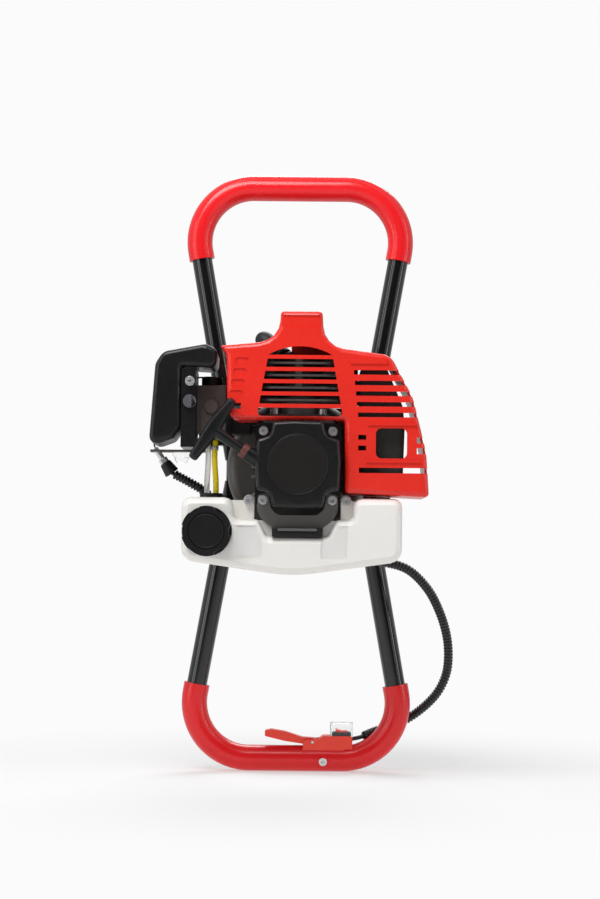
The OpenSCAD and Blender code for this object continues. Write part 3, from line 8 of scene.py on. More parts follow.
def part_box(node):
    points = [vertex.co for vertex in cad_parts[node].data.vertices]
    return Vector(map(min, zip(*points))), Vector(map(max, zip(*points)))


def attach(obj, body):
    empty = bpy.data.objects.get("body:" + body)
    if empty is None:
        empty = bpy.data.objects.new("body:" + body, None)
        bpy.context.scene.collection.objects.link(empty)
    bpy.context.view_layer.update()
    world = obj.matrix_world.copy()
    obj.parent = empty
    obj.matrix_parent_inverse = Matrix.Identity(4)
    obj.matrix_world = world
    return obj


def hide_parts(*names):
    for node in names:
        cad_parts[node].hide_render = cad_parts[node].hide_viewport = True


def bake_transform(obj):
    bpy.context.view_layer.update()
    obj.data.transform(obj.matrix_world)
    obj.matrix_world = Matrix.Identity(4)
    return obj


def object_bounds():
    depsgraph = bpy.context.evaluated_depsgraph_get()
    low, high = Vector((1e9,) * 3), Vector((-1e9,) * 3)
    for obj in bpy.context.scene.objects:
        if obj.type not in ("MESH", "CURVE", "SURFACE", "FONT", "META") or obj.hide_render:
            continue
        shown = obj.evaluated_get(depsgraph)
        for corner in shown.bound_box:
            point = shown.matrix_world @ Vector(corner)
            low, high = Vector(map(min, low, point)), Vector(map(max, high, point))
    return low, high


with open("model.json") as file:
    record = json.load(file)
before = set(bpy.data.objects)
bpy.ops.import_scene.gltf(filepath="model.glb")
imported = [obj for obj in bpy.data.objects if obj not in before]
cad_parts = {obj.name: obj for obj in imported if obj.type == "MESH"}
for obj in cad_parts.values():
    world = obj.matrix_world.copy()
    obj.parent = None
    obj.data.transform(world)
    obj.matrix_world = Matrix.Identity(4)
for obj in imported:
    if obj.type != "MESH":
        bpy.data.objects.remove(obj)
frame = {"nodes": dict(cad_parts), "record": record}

bl_info = {
    "name": "Auger power head",
    "version": (1, 0, 0),
    "blender": (4, 5, 0),
    "location": "View3D > Sidebar > Auger",
    "description": "Dresses the power head of an earth auger: finishes, cables, hoses and studio",
    "category": "Object",
}

CAD_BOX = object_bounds()
NODES = frame["nodes"]
SLOTS = {s["node"]: s["material_slot"] for s in frame["record"]["subparts"]}
MM = 0.001

# The throttle cable's way from the switch housing to the cable boot, in mm
CABLE_ROUTE = [
    (62, -83.85, -292.1), (72, -80.85, -290.1), (88, -67.85, -285), (104, -63.85, -280),
    (122, -63.85, -272), (140, -69.85, -258.5), (155, -77.85, -241.5), (164, -83.85, -221.5),
    (166, -91.85, -200), (163, -99.85, -176), (154, -109.85, -150), (140, -121.85, -126),
    (118, -133, -106), (88, -141, -98), (54, -145, -94), (18, -147, -92), (-20, -149, -90),
    (-54, -151, -80), (-74, -151, -61), (-86, -152, -42), (-98, -154, -26.5),
    (-115, -156, -16), (-134, -156, -6),
]
# The bare wire from the boot over the adjuster to the carburettor's lever
WIRE_ROUTE = [
    (-138.587, -155.869, 0.553), (-151.5, -155.5, 19), (-153.5, -156.5, 31), (-150, -158, 50),
    (-132, -160, 74), (-112, -162, 93), (-100, -166, 95.4), (-88, -172.5, 94.8),
]
LEAD_ROUTE = [
    (-39.261, -145.843, 132.328), (-43.212, -140.671, 124.735), (-58, -132, 106),
    (-70, -132, 90), (-66, -150, 68), (-60, -166, 60), (-60, -166, 51.9),
]
PLUG_SEAT = Vector((-10, -165, 112)) * MM
PLUG_LINE = Vector((-0.672256, 0.401347, 0.622087))
ROPE_FROM = Vector((-10.9043, -246.5, -16.1662)) * MM
ROPE_LINE = Vector((-0.829038, 0, 0.559193))
LINE_FOOT = Vector((-90.5, -190, -39.5)) * MM
LINE_RUN = 67.2 * MM

# Lengths below are in metres
CONDUIT_FROM, CONDUIT_SHORT_OF_END, RIB_CHAMFER = 0.014, 0.002, 0.0004
CABLE_TAILS = (0.008, 0.004)
WIRE_CORE_R, WIRE_END_R, WIRE_CORE_STEPS = 0.0015, 0.0009, 8
# The plug boot's radius at each distance from its seat
PLUG_STEPS = (
    (0.014, 0.0062), (0.014, 0.0092), (0.0152, 0.0104), (0.020, 0.0104), (0.0208, 0.0096),
    (0.0222, 0.0096), (0.023, 0.0104), (0.027, 0.0104), (0.0278, 0.0096), (0.0292, 0.0096),
    (0.030, 0.0104), (0.050, 0.0104), (0.0545, 0.0101), (0.0585, 0.0089), (0.0615, 0.0072),
    (0.0632, 0.0052), (0.0638, 0.0026),
)
HOSE_STEPS, CLIP_STEP = 32, 27
CLIP_TURNS, CLIP_PITCH, CLIP_WIRE_R = 3, 0.0011, 0.0005
ROPE_INSIDE, ROPE_RUN, ROPE_STEPS, ROPE_STRETCH = 0.002, 0.0764, 60, (38, 44)
CAP_CIRCLE_R, CAP_CIRCLE_WIRE = 0.0168, 0.0005
TICK_UP, TICK_SIZE = 0.0362, (0.0007, 0.0008, 0.0028)
PLEAT_PITCH, PLEAT_DEPTH = 0.007, 0.005
# Dark strips of sheet, painted shade set behind the shroud's grilles so that the openings look dark inside:
# their spans along x, y and z
SHADE_SHEETS = (
    ("shade_sheet_top", (-0.064, 0.066), (-0.159, -0.1576), (0.1145, 0.1218)),
    ("shade_sheet_side", (0.045, 0.063), (-0.159, -0.158), (0.050, 0.118)),
)

# The photograph's camera: focal length and picture height in pixels, and the sensor's height in mm
FOCAL_PX, PICTURE_PX, SENSOR_MM = 1978, 899, 36
CAMERA_TURN = (93, -0.55)
# Area lights: name, place, size, the stage value that gives the power, and a factor on it
LIGHTS = (
    ("key_light", (-0.28, -0.8, 0.98), (0.8, 0.5), "key_power", 1),
    ("left_strip", (-1.5, -0.9, 0.1), (0.22, 1.8), "side_power", 1),
    ("right_strip", (1.5, -0.7, 0.2), (0.22, 1.8), "side_power", 1),
    ("back_light", (0.2, 1.3, 1.6), (1.4, 0.8), "key_power", 2),
    ("low_fill", (0, -1.5, -0.12), (1.4, 0.3), "low_power", 1),
)
LIGHT_AIM = (0, -0.15, 0)
FLOOR_GREY = (0.5, 0.5, 0.505, 1)
FLOOR_FADE = (0.22, 0.62)
# What glossy faces mirror: the room's strength ahead and at the sides, and two soft panels
ROOM_AHEAD, ROOM_SIDES = 0.03, 0.9
PANELS = ((-42, 9, 3.0), (48, 7, 1.4))
PANEL_SOFT = 4


def colour_prop(name, words, default):
    return bpy.props.FloatVectorProperty(
        name=name, description=words, default=default, size=3, min=0, max=1, subtype="COLOR")


def length_prop(name, words, default):
    return bpy.props.FloatProperty(
        name=name, description=words, default=default, min=0, unit="LENGTH", precision=5)


class AugerColours(bpy.types.PropertyGroup):
    """Colours of the finishes"""
    shroud_red: colour_prop("Shroud red", "Moulded engine shroud", (0.76, 0.022, 0.012))
    grip_red: colour_prop("Grip red", "Dipped sleeves on the handles", (0.74, 0.010, 0.014))
    control_red: colour_prop("Control red", "Trigger and switch housing", (0.88, 0.050, 0.024))
    frame_black: colour_prop("Frame black", "Coated handle tubes", (0.005, 0.005, 0.0055))
    moulding_black: colour_prop("Moulding black", "Black covers and caps", (0.0065, 0.0067, 0.0075))
    tank_white: colour_prop("Tank white", "Milky fuel tank", (0.86, 0.835, 0.79))
    alloy_grey: colour_prop("Alloy grey", "Die-cast housings", (0.15, 0.143, 0.136))
    fuel_yellow: colour_prop("Fuel yellow", "Supply hose", (0.87, 0.70, 0.012))


class AugerSizes(bpy.types.PropertyGroup):
    """Sizes of what is modelled here"""
    edge_round: length_prop("Edge round", "Rounding of hard edges", 0.0005)
    conduit_d: length_prop("Conduit diameter", "Over the ribs", 0.010)
    conduit_groove: length_prop("Groove depth", "Between two ribs", 0.00115)
    rib_pitch: length_prop("Rib pitch", "From rib to rib", 0.0036)
    jacket_d: length_prop("Jacket diameter", "Throttle cable jacket", 0.0046)
    lead_d: length_prop("Lead diameter", "Ignition lead", 0.0064)
    hose_d: length_prop("Hose diameter", "Fuel hoses", 0.006)
    rope_d: length_prop("Rope diameter", "Starter rope", 0.004)


class AugerStage(bpy.types.PropertyGroup):
    """Camera and studio light"""
    camera_at: bpy.props.FloatVectorProperty(
        name="Camera place", description="Where the camera stands",
        default=(0.003, -2.260, -0.090), size=3, subtype="TRANSLATION")
    key_power: bpy.props.FloatProperty(
        name="Key light", description="Large soft light above the front", default=12.0, min=0, unit="POWER")
    side_power: bpy.props.FloatProperty(
        name="Side lights", description="Tall strips left and right", default=5.0, min=0, unit="POWER")
    low_power: bpy.props.FloatProperty(
        name="Low fill", description="Wide light before the lower handle", default=1.0, min=0, unit="POWER")
    ambient: bpy.props.FloatProperty(
        name="Ambient", description="Light from the room", default=0.24, min=0, subtype="FACTOR")
    floor_fill: bpy.props.FloatProperty(
        name="Floor fill", description="Light that the floor itself gives near the object",
        default=0.42, min=0)
    backdrop: bpy.props.FloatProperty(
        name="Backdrop", description="White of floor and backdrop", default=0.965, min=0, subtype="FACTOR")


# Small helpers

def solo(obj):
    if bpy.context.object and bpy.context.object.mode != "OBJECT":
        bpy.ops.object.mode_set(mode="OBJECT")
    bpy.ops.object.select_all(action="DESELECT")
    obj.select_set(True)
    bpy.context.view_layer.objects.active = obj


def clear_pick():
    if bpy.context.object and bpy.context.object.mode != "OBJECT":
        bpy.ops.object.mode_set(mode="OBJECT")
    bpy.ops.object.select_all(action="DESELECT")


def settle(obj):
    """Puts a piece's place into its mesh, so that its object sits at the origin."""
    solo(obj)
    bpy.ops.object.transform_apply(location=True, rotation=True, scale=True)


def face_out(obj):
    solo(obj)
    bpy.ops.object.mode_set(mode="EDIT")
    bpy.ops.mesh.select_all(action="SELECT")
    bpy.ops.mesh.remove_doubles(threshold=1e-6)
    bpy.ops.mesh.normals_make_consistent(inside=False)
    bpy.ops.object.mode_set(mode="OBJECT")


def smooth(obj, degrees=40):
    solo(obj)
    bpy.ops.object.shade_smooth_by_angle(angle=math.radians(degrees))


def rounded(obj, width, segments=3, degrees=35):
    solo(obj)
    bpy.ops.object.modifier_add(type="BEVEL")
    bevel = obj.modifiers[-1]
    bevel.width = width
    bevel.segments = segments
    bevel.limit_method = "ANGLE"
    bevel.angle_limit = math.radians(degrees)
    bpy.ops.object.modifier_apply(modifier=bevel.name)


def finish_piece(obj, name, finish, body, node=()):
    obj.name = name
    obj.data.name = name
    obj.data.materials.clear()
    obj.data.materials.append(finish)
    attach(obj, body)
    for n in node:
        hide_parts(n)
    return obj


def turned(name, start, direction, stations, sides=32):
    """Turns a piece from stations (along, radius): a disc, extruded and resized step by step."""
    clear_pick()
    bpy.ops.mesh.primitive_circle_add(
        vertices=sides, radius=stations[0][1], fill_type="NGON", location=(0, 0, stations[0][0]))
    obj = bpy.context.object
    bpy.ops.object.mode_set(mode="EDIT")
    bpy.ops.mesh.select_all(action="SELECT")
    for (z0, r0), (z1, r1) in zip(stations, stations[1:]):
        bpy.ops.mesh.extrude_region_move(TRANSFORM_OT_translate={"value": (0, 0, z1 - z0)})
        bpy.ops.transform.resize(value=(r1 / r0, r1 / r0, 1), center_override=(0, 0, z1))
    bpy.ops.object.mode_set(mode="OBJECT")
    turn = Vector(direction).to_track_quat("Z", "Y").to_matrix().to_4x4()
    obj.matrix_world = Matrix.Translation(Vector(start)) @ turn
    settle(obj)
    face_out(obj)
    obj.name = name
    return obj


def hoop(name, at, radius, wire):
    """A round ring that faces forward."""
    clear_pick()
    bpy.ops.mesh.primitive_torus_add(
        major_segments=72, minor_segments=10, major_radius=radius, minor_radius=wire, location=at,
        rotation=(math.pi / 2, 0, 0))
    ring = bpy.context.object
    settle(ring)
    face_out(ring)
    smooth(ring, 80)
    ring.name = name
    return ring


def curve_points(knots, per_span=12, scale=MM):
    """The same smooth line through the knots that the solids follow."""
    pts = [Vector(k) * scale for k in knots]
    line = []
    for i in range(len(pts) - 1):
        a, b, c, d = pts[max(i - 1, 0)], pts[i], pts[i + 1], pts[min(i + 2, len(pts) - 1)]
        for s in range(per_span):
            t = s / per_span
            line.append(0.5 * (2 * b + t * (c - a) + t * t * (2 * a - 5 * b + 4 * c - d)
                               + t ** 3 * (3 * b - a - 3 * c + d)))
    return line + [pts[-1]]


def line_length(line):
    return sum((b - a).length for a, b in zip(line, line[1:]))


def along(line, distances):
    """Points at the given distances along a line."""
    out, i, run = [], 0, 0.0
    for d in distances:
        while i < len(line) - 2 and run + (line[i + 1] - line[i]).length < d:
            run += (line[i + 1] - line[i]).length
            i += 1
        step = (line[i + 1] - line[i]).length
        out.append(line[i].lerp(line[i + 1], (d - run) / step))
    return out


def tube(name, line, radii, sides=16):
    """A closed round tube along a line, its rings carried without twist, with its own UV map."""
    n = len(line)
    ways = [(line[min(i + 1, n - 1)] - line[max(i - 1, 0)]).normalized() for i in range(n)]
    side = ways[0].orthogonal().normalized()
    verts, run = [], [0.0]
    for i in range(n):
        if i:
            side = (ways[i - 1].rotation_difference(ways[i]) @ side).normalized()
            run.append(run[-1] + (line[i] - line[i - 1]).length)
        up = ways[i].cross(side)
        verts += [line[i] + radii[i] * (math.cos(a) * side + math.sin(a) * up)
                  for a in (2 * math.pi * k / sides for k in range(sides))]
    faces = [(i * sides + k, i * sides + (k + 1) % sides,
              (i + 1) * sides + (k + 1) % sides, (i + 1) * sides + k)
             for i in range(n - 1) for k in range(sides)]
    faces += [tuple(reversed(range(sides))), tuple((n - 1) * sides + k for k in range(sides))]
    mesh = bpy.data.meshes.new(name)
    mesh.from_pydata([tuple(v) for v in verts], [], faces)
    uv = mesh.uv_layers.new(name="along")
    for p in mesh.polygons:
        p.use_smooth = True
        for loop in p.loop_indices:
            v = mesh.loops[loop].vertex_index
            turn = (v % sides) / sides
            if p.index < (n - 1) * sides and p.index % sides == sides - 1 and v % sides == 0:
                turn = 1.0
            uv.data[loop].uv = (turn, run[v // sides])
    obj = bpy.data.objects.new(name, mesh)
    bpy.context.scene.collection.objects.link(obj)
    return obj


# Finishes

def node_in(tree, kind, **values):
    n = tree.nodes.new(kind)
    for k, v in values.items():
        if k.startswith("in_"):
            n.inputs[k[3:].replace("_", " ")].default_value = v
        else:
            setattr(n, k, v)
    return n


def finish(name, colour, rough, metal=0.0, coat=0.0, coat_rough=0.04, mottle=0.12, mottle_scale=18.0,
           rough_spread=0.07, grain=0.0, grain_scale=2500.0, wave=0.0, wave_scale=40.0,
           through=0.0, ior=1.5, soft=0.0, sheen=0.0, specular=0.5, cells=False):
    """A procedural finish: broad mottling in colour and gloss, fine grain and slow waves in the surface."""
    label = name + "_finish"
    if label in bpy.data.materials:
        return bpy.data.materials[label]
    m = bpy.data.materials.new(label)
    m.use_nodes = True
    t = m.node_tree
    shader = t.nodes["Principled BSDF"]
    at = t.nodes.new("ShaderNodeTexCoord").outputs["Object"]
    broad = node_in(t, "ShaderNodeTexNoise", in_Scale=mottle_scale, in_Detail=5.0, in_Roughness=0.6)
    t.links.new(at, broad.inputs["Vector"])
    pale = [min(1.0, c * (1 + mottle) + 0.002) for c in colour]
    deep = [c * (1 - mottle) for c in colour]
    ramp = t.nodes.new("ShaderNodeValToRGB")
    ramp.color_ramp.elements[0].position = 0.3
    ramp.color_ramp.elements[0].color = (*deep, 1)
    ramp.color_ramp.elements[1].position = 0.7
    ramp.color_ramp.elements[1].color = (*pale, 1)
    t.links.new(broad.outputs[0], ramp.inputs["Fac"])
    t.links.new(ramp.outputs["Color"], shader.inputs["Base Color"])
    fine = node_in(t, "ShaderNodeTexNoise", in_Scale=mottle_scale * 9, in_Detail=3.0)
    t.links.new(at, fine.inputs["Vector"])
    spread = node_in(t, "ShaderNodeMapRange", in_To_Min=max(0.02, rough - rough_spread),
                     in_To_Max=min(1.0, rough + rough_spread))
    t.links.new(fine.outputs[0], spread.inputs["Value"])
    t.links.new(spread.outputs["Result"], shader.inputs["Roughness"])
    normal = None
    if grain:
        kind = "ShaderNodeTexVoronoi" if cells else "ShaderNodeTexNoise"
        bumps = node_in(t, kind, in_Scale=grain_scale)
        t.links.new(at, bumps.inputs["Vector"])
        bump = node_in(t, "ShaderNodeBump", in_Strength=grain, in_Distance=0.0002)
        t.links.new(bumps.outputs[0], bump.inputs["Height"])
        normal = bump.outputs["Normal"]
    if wave:
        slow = node_in(t, "ShaderNodeTexNoise", in_Scale=wave_scale, in_Detail=1.0)
        t.links.new(at, slow.inputs["Vector"])
        swell = node_in(t, "ShaderNodeBump", in_Strength=wave, in_Distance=0.002)
        t.links.new(slow.outputs[0], swell.inputs["Height"])
        if normal:
            t.links.new(normal, swell.inputs["Normal"])
        normal = swell.outputs["Normal"]
    if normal:
        t.links.new(normal, shader.inputs["Normal"])
    for socket, value in (("Metallic", metal), ("Coat Weight", coat), ("Coat Roughness", coat_rough),
                          ("Transmission Weight", through), ("IOR", ior), ("Subsurface Weight", soft),
                          ("Sheen Weight", sheen), ("Specular IOR Level", specular)):
        shader.inputs[socket].default_value = value
    if soft:
        shader.inputs["Subsurface Radius"].default_value = (1.0, 0.9, 0.75)
        shader.inputs["Subsurface Scale"].default_value = 0.006
    return m


def finish_for(slot):
    """The finish of one of the record's material slots."""
    c = bpy.context.scene.auger_colours
    table = {
        "frame_black": dict(colour=c.frame_black, rough=0.14, coat=0.15, grain=0.02, grain_scale=900,
                            wave=0.03, rough_spread=0.04),
        "grip_red": dict(colour=c.grip_red, rough=0.24, coat=0.06, coat_rough=0.06, mottle=0.04, wave=0.025,
                         wave_scale=45, rough_spread=0.03, specular=0.4),
        "shroud_red": dict(colour=c.shroud_red, rough=0.27, coat=0.06, coat_rough=0.08, mottle=0.04,
                           wave=0.03, wave_scale=30, grain=0.01, grain_scale=2200, rough_spread=0.04,
                           specular=0.42),
        "control_red": dict(colour=c.control_red, rough=0.34, mottle=0.05, grain=0.04, grain_scale=3000),
        "black_moulding": dict(colour=c.moulding_black, rough=0.3, grain=0.05, grain_scale=2600, wave=0.03,
                               specular=0.32),
        "bare_disc": dict(colour=(0.0085, 0.0072, 0.0066), rough=0.5, grain=0.04, grain_scale=4000,
                          specular=0.2),
        "tank_white": dict(colour=c.tank_white, rough=0.42, mottle=0.02, soft=0.35, wave=0.12,
                           wave_scale=28, grain=0.05, grain_scale=1800),
        "rubber_black": dict(colour=(0.009, 0.009, 0.0095), rough=0.5, grain=0.08, grain_scale=2200,
                             specular=0.3),
        "conduit_black": dict(colour=(0.011, 0.011, 0.0115), rough=0.4, grain=0.06, grain_scale=3000),
        "cast_alloy": dict(colour=c.alloy_grey, rough=0.5, metal=0.75, mottle=0.1, grain=0.07,
                           grain_scale=2400, rough_spread=0.06),
        "bright_steel": dict(colour=(0.70, 0.70, 0.71), rough=0.24, metal=0.72, grain=0.015,
                             grain_scale=2000, mottle=0.05, rough_spread=0.05),
        "muffler_black": dict(colour=(0.02, 0.0195, 0.019), rough=0.72, grain=0.3, grain_scale=1800),
        "clear_plastic": dict(colour=(0.95, 0.96, 0.955), rough=0.07, rough_spread=0.03, through=0.98,
                              ior=1.15, mottle=0.01, wave=0.03),
        "fuel_yellow": dict(colour=c.fuel_yellow, rough=0.26, through=0.18, ior=1.45, mottle=0.05,
                            soft=0.2),
        "foam_tan": dict(colour=(0.55, 0.42, 0.22), rough=0.9, grain=0.9, grain_scale=1300, cells=True,
                         sheen=0.2),
        "rope_cord": dict(colour=(0.45, 0.42, 0.36), rough=0.7, grain=0.5, grain_scale=1500, cells=True),
        "guide_brown": dict(colour=(0.115, 0.03, 0.022), rough=0.42, grain=0.1),
        "pulley_white": dict(colour=(0.70, 0.68, 0.60), rough=0.45, soft=0.1, grain=0.06),
        "choke_grey": dict(colour=(0.075, 0.078, 0.085), rough=0.42, grain=0.12),
    }
    return finish(slot, **table[slot])


def dress(names, edge=None, degrees=38, moulded=False):
    """Gives solids their finish, soft edges and even shading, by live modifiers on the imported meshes.
    A moulded shell has its round rims already, so its edges are only shaded."""
    width = edge or bpy.context.scene.auger_sizes.edge_round
    for name in names:
        obj = NODES[name]
        obj.data.materials.clear()
        obj.data.materials.append(finish_for(SLOTS[name]))
        for p in obj.data.polygons:
            p.use_smooth = True
        weld = obj.modifiers.new("join", "WELD")
        weld.merge_threshold = 1e-5
        if moulded:
            split = obj.modifiers.new("edges", "EDGE_SPLIT")
            split.split_angle = math.radians(degrees)
            obj.modifiers.new("shading", "WEIGHTED_NORMAL")
            continue
        flat = obj.modifiers.new("flats", "DECIMATE")
        flat.decimate_type = "DISSOLVE"
        flat.angle_limit = math.radians(0.6)
        bevel = obj.modifiers.new("edges", "BEVEL")
        bevel.width = width
        bevel.segments = 2
        bevel.limit_method = "ANGLE"
        bevel.angle_limit = math.radians(degrees)
        bevel.use_clamp_overlap = True
        even = obj.modifiers.new("shading", "WEIGHTED_NORMAL")
        even.keep_sharp = True


# Operators

class AUGER_OT_stage(bpy.types.Operator):
    """Sets the camera, the pale floor, the room and the soft lights"""
    bl_idname = "auger.stage"
    bl_label = "Stage"

    def execute(self, context):
        s = context.scene.auger_stage
        scene = context.scene
        scene.view_settings.view_transform = "Standard"
        clear_pick()
        bpy.ops.object.camera_add(location=s.camera_at, rotation=(*map(math.radians, CAMERA_TURN), 0))
        camera = context.object
        camera.name = "photo_camera"
        camera.data.sensor_fit = "VERTICAL"
        camera.data.sensor_height = SENSOR_MM
        camera.data.lens = FOCAL_PX * SENSOR_MM / PICTURE_PX
        camera.data.clip_end = 50
        scene.camera = camera
        self.floor(context, s)
        self.room(context, s)
        for name, at, size, power, factor in LIGHTS:
            clear_pick()
            bpy.ops.object.light_add(type="AREA", location=at)
            lamp = context.object
            lamp.name = name
            lamp.data.shape = "RECTANGLE"
            lamp.data.size, lamp.data.size_y = size
            lamp.data.energy = getattr(s, power) * factor
            lamp.visible_glossy = name != "low_fill"
            lamp.rotation_euler = (Vector(LIGHT_AIM) - Vector(at)).to_track_quat("-Z", "Y").to_euler()
        return {"FINISHED"}

    def floor(self, context, s):
        low = CAD_BOX[0][2]
        clear_pick()
        bpy.ops.mesh.primitive_plane_add(size=24, location=(0, 0, low - 0.0002))
        floor = context.object
        floor.name = "studio_floor"
        settle(floor)
        m = bpy.data.materials.new("studio_white")
        m.use_nodes = True
        t = m.node_tree
        t.nodes.clear()
        out = t.nodes.new("ShaderNodeOutputMaterial")
        at = t.nodes.new("ShaderNodeTexCoord")
        centred = node_in(t, "ShaderNodeMapping")
        centred.inputs["Location"].default_value = (0, 0.1, -low)
        far = node_in(t, "ShaderNodeVectorMath", operation="LENGTH")
        fade = node_in(t, "ShaderNodeMapRange", interpolation_type="SMOOTHSTEP",
                       in_From_Min=FLOOR_FADE[0], in_From_Max=FLOOR_FADE[1])
        path = t.nodes.new("ShaderNodeLightPath")
        seen = node_in(t, "ShaderNodeMath", operation="MAXIMUM")
        share = node_in(t, "ShaderNodeMath", operation="MULTIPLY")
        matt = t.nodes.new("ShaderNodeBsdfDiffuse")
        matt.inputs["Color"].default_value = FLOOR_GREY
        glow = t.nodes.new("ShaderNodeEmission")
        glow.inputs["Color"].default_value = (s.backdrop, s.backdrop, s.backdrop * 1.002, 1)
        fill = t.nodes.new("ShaderNodeEmission")
        fill.inputs["Strength"].default_value = s.floor_fill
        near = t.nodes.new("ShaderNodeAddShader")
        mix = t.nodes.new("ShaderNodeMixShader")
        t.links.new(at.outputs["Object"], centred.inputs["Vector"])
        t.links.new(centred.outputs["Vector"], far.inputs[0])
        t.links.new(far.outputs["Value"], fade.inputs["Value"])
        t.links.new(path.outputs["Is Camera Ray"], seen.inputs[0])
        t.links.new(path.outputs["Is Transmission Ray"], seen.inputs[1])
        t.links.new(fade.outputs["Result"], share.inputs[0])
        t.links.new(seen.outputs[0], share.inputs[1])
        t.links.new(share.outputs[0], mix.inputs["Fac"])
        t.links.new(matt.outputs[0], near.inputs[0])
        t.links.new(fill.outputs[0], near.inputs[1])
        t.links.new(near.outputs[0], mix.inputs[1])
        t.links.new(glow.outputs[0], mix.inputs[2])
        t.links.new(mix.outputs[0], out.inputs["Surface"])
        floor.data.materials.append(m)

    def room(self, context, s):
        world = context.scene.world or bpy.data.worlds.new("room")
        context.scene.world = world
        world.use_nodes = True
        world.cycles.sampling_method = "NONE"
        t = world.node_tree
        t.nodes.clear()
        out = t.nodes.new("ShaderNodeOutputWorld")
        path = t.nodes.new("ShaderNodeLightPath")
        at = t.nodes.new("ShaderNodeTexCoord")
        parts = t.nodes.new("ShaderNodeSeparateXYZ")
        depth = node_in(t, "ShaderNodeMapRange", interpolation_type="SMOOTHSTEP", in_From_Min=-0.62,
                        in_From_Max=-0.2, in_To_Min=ROOM_AHEAD, in_To_Max=ROOM_SIDES)
        ahead = node_in(t, "ShaderNodeMath", operation="MULTIPLY")
        ahead.inputs[1].default_value = -1
        around = node_in(t, "ShaderNodeMath", operation="ARCTAN2")
        total = depth.outputs["Result"]
        t.links.new(parts.outputs["Y"], ahead.inputs[0])
        t.links.new(parts.outputs["X"], around.inputs[0])
        t.links.new(ahead.outputs[0], around.inputs[1])
        for middle, half, power in PANELS:
            off = node_in(t, "ShaderNodeMath", operation="SUBTRACT")
            off.inputs[1].default_value = math.radians(middle)
            apart = node_in(t, "ShaderNodeMath", operation="ABSOLUTE")
            panel = node_in(t, "ShaderNodeMapRange", interpolation_type="SMOOTHSTEP",
                            in_From_Min=math.radians(half + PANEL_SOFT),
                            in_From_Max=math.radians(half - PANEL_SOFT), in_To_Max=power)
            both = node_in(t, "ShaderNodeMath", operation="ADD")
            t.links.new(around.outputs[0], off.inputs[0])
            t.links.new(off.outputs[0], apart.inputs[0])
            t.links.new(apart.outputs[0], panel.inputs["Value"])
            t.links.new(total, both.inputs[0])
            t.links.new(panel.outputs["Result"], both.inputs[1])
            total = both.outputs[0]
        seen = node_in(t, "ShaderNodeMath", operation="MAXIMUM")
        lit = t.nodes.new("ShaderNodeBackground")
        lit.inputs["Strength"].default_value = s.ambient
        mirror = t.nodes.new("ShaderNodeBackground")
        shown = t.nodes.new("ShaderNodeBackground")
        shown.inputs["Color"].default_value = (s.backdrop, s.backdrop, s.backdrop * 1.002, 1)
        first = t.nodes.new("ShaderNodeMixShader")
        second = t.nodes.new("ShaderNodeMixShader")
        lit.inputs["Color"].default_value = (1, 1, 1, 1)
        t.links.new(at.outputs["Generated"], parts.inputs[0])
        t.links.new(parts.outputs["Y"], depth.inputs["Value"])
        t.links.new(total, mirror.inputs["Strength"])
        t.links.new(path.outputs["Is Camera Ray"], seen.inputs[0])
        t.links.new(path.outputs["Is Transmission Ray"], seen.inputs[1])
        t.links.new(path.outputs["Is Glossy Ray"], first.inputs["Fac"])
        t.links.new(lit.outputs[0], first.inputs[1])
        t.links.new(mirror.outputs[0], first.inputs[2])
        t.links.new(seen.outputs[0], second.inputs["Fac"])
        t.links.new(first.outputs[0], second.inputs[1])
        t.links.new(shown.outputs[0], second.inputs[2])
        t.links.new(second.outputs[0], out.inputs["Surface"])


class AUGER_OT_cables(bpy.types.Operator):
    """Makes the ribbed conduit, the throttle cable in it and the ignition lead"""
    bl_idname = "auger.cables"
    bl_label = "Cables"

    def execute(self, context):
        z = context.scene.auger_sizes
        route = curve_points(CABLE_ROUTE)
        whole = line_length(route)
        self.conduit(z, route, whole)
        self.cable(z, route, whole)
        self.lead(z)
        dress(["cable_boot", "cable_adjuster"])
        return {"FINISHED"}

    def conduit(self, z, route, whole):
        start = CONDUIT_FROM
        ribs = int((whole - CONDUIT_SHORT_OF_END - start) / z.rib_pitch)
        top, low = z.conduit_d / 2, z.conduit_d / 2 - z.conduit_groove
        slope = top - RIB_CHAMFER
        profile = ((0.00, low), (0.22, low), (0.30, slope), (0.40, top), (0.82, top), (0.92, slope))
        steps, radii = [start], [z.jacket_d / 2 + 0.0005]
        for i in range(ribs):
            for share, r in profile:
                steps.append(start + (i + share) * z.rib_pitch + 1e-6)
                radii.append(r)
        steps.append(start + ribs * z.rib_pitch)
        radii.append(low)
        line = along(route, steps)
        obj = tube("ribbed_conduit", line, radii, 20)
        finish_piece(obj, "ribbed_conduit", finish_for("conduit_black"), "power_head",
                     ["cable_conduit"])
        path = along(route, [start + (steps[-1] - start) * i / 120 for i in range(121)])

    def cable(self, z, route, whole):
        jacket = along(route, [whole * i / 150 for i in range(151)])
        inside = [route[0] + Vector((-back, 0, 0)) for back in CABLE_TAILS]
        wire = curve_points(WIRE_ROUTE, 8)
        line = inside + jacket + wire
        radii = [z.jacket_d / 2] * (len(inside) + len(jacket))
        radii += [WIRE_CORE_R if i < WIRE_CORE_STEPS else WIRE_END_R for i in range(len(wire))]
        obj = tube("throttle_wire", line, radii, 14)
        finish_piece(obj, "throttle_wire", finish_for("conduit_black"), "power_head",
                     ["throttle_cable"])

    def lead(self, z):
        line = curve_points(LEAD_ROUTE, 12)
        obj = tube("ignition_lead", line, [z.lead_d / 2] * len(line), 16)
        finish_piece(obj, "ignition_lead", finish_for("rubber_black"), "power_head")
        boot = turned("plug_cap", PLUG_SEAT, PLUG_LINE, PLUG_STEPS)
        rounded(boot, 0.0005, 2)
        smooth(boot)
        finish_piece(boot, "plug_cap", finish_for("rubber_black"), "power_head",
                     ["plug_boot"])


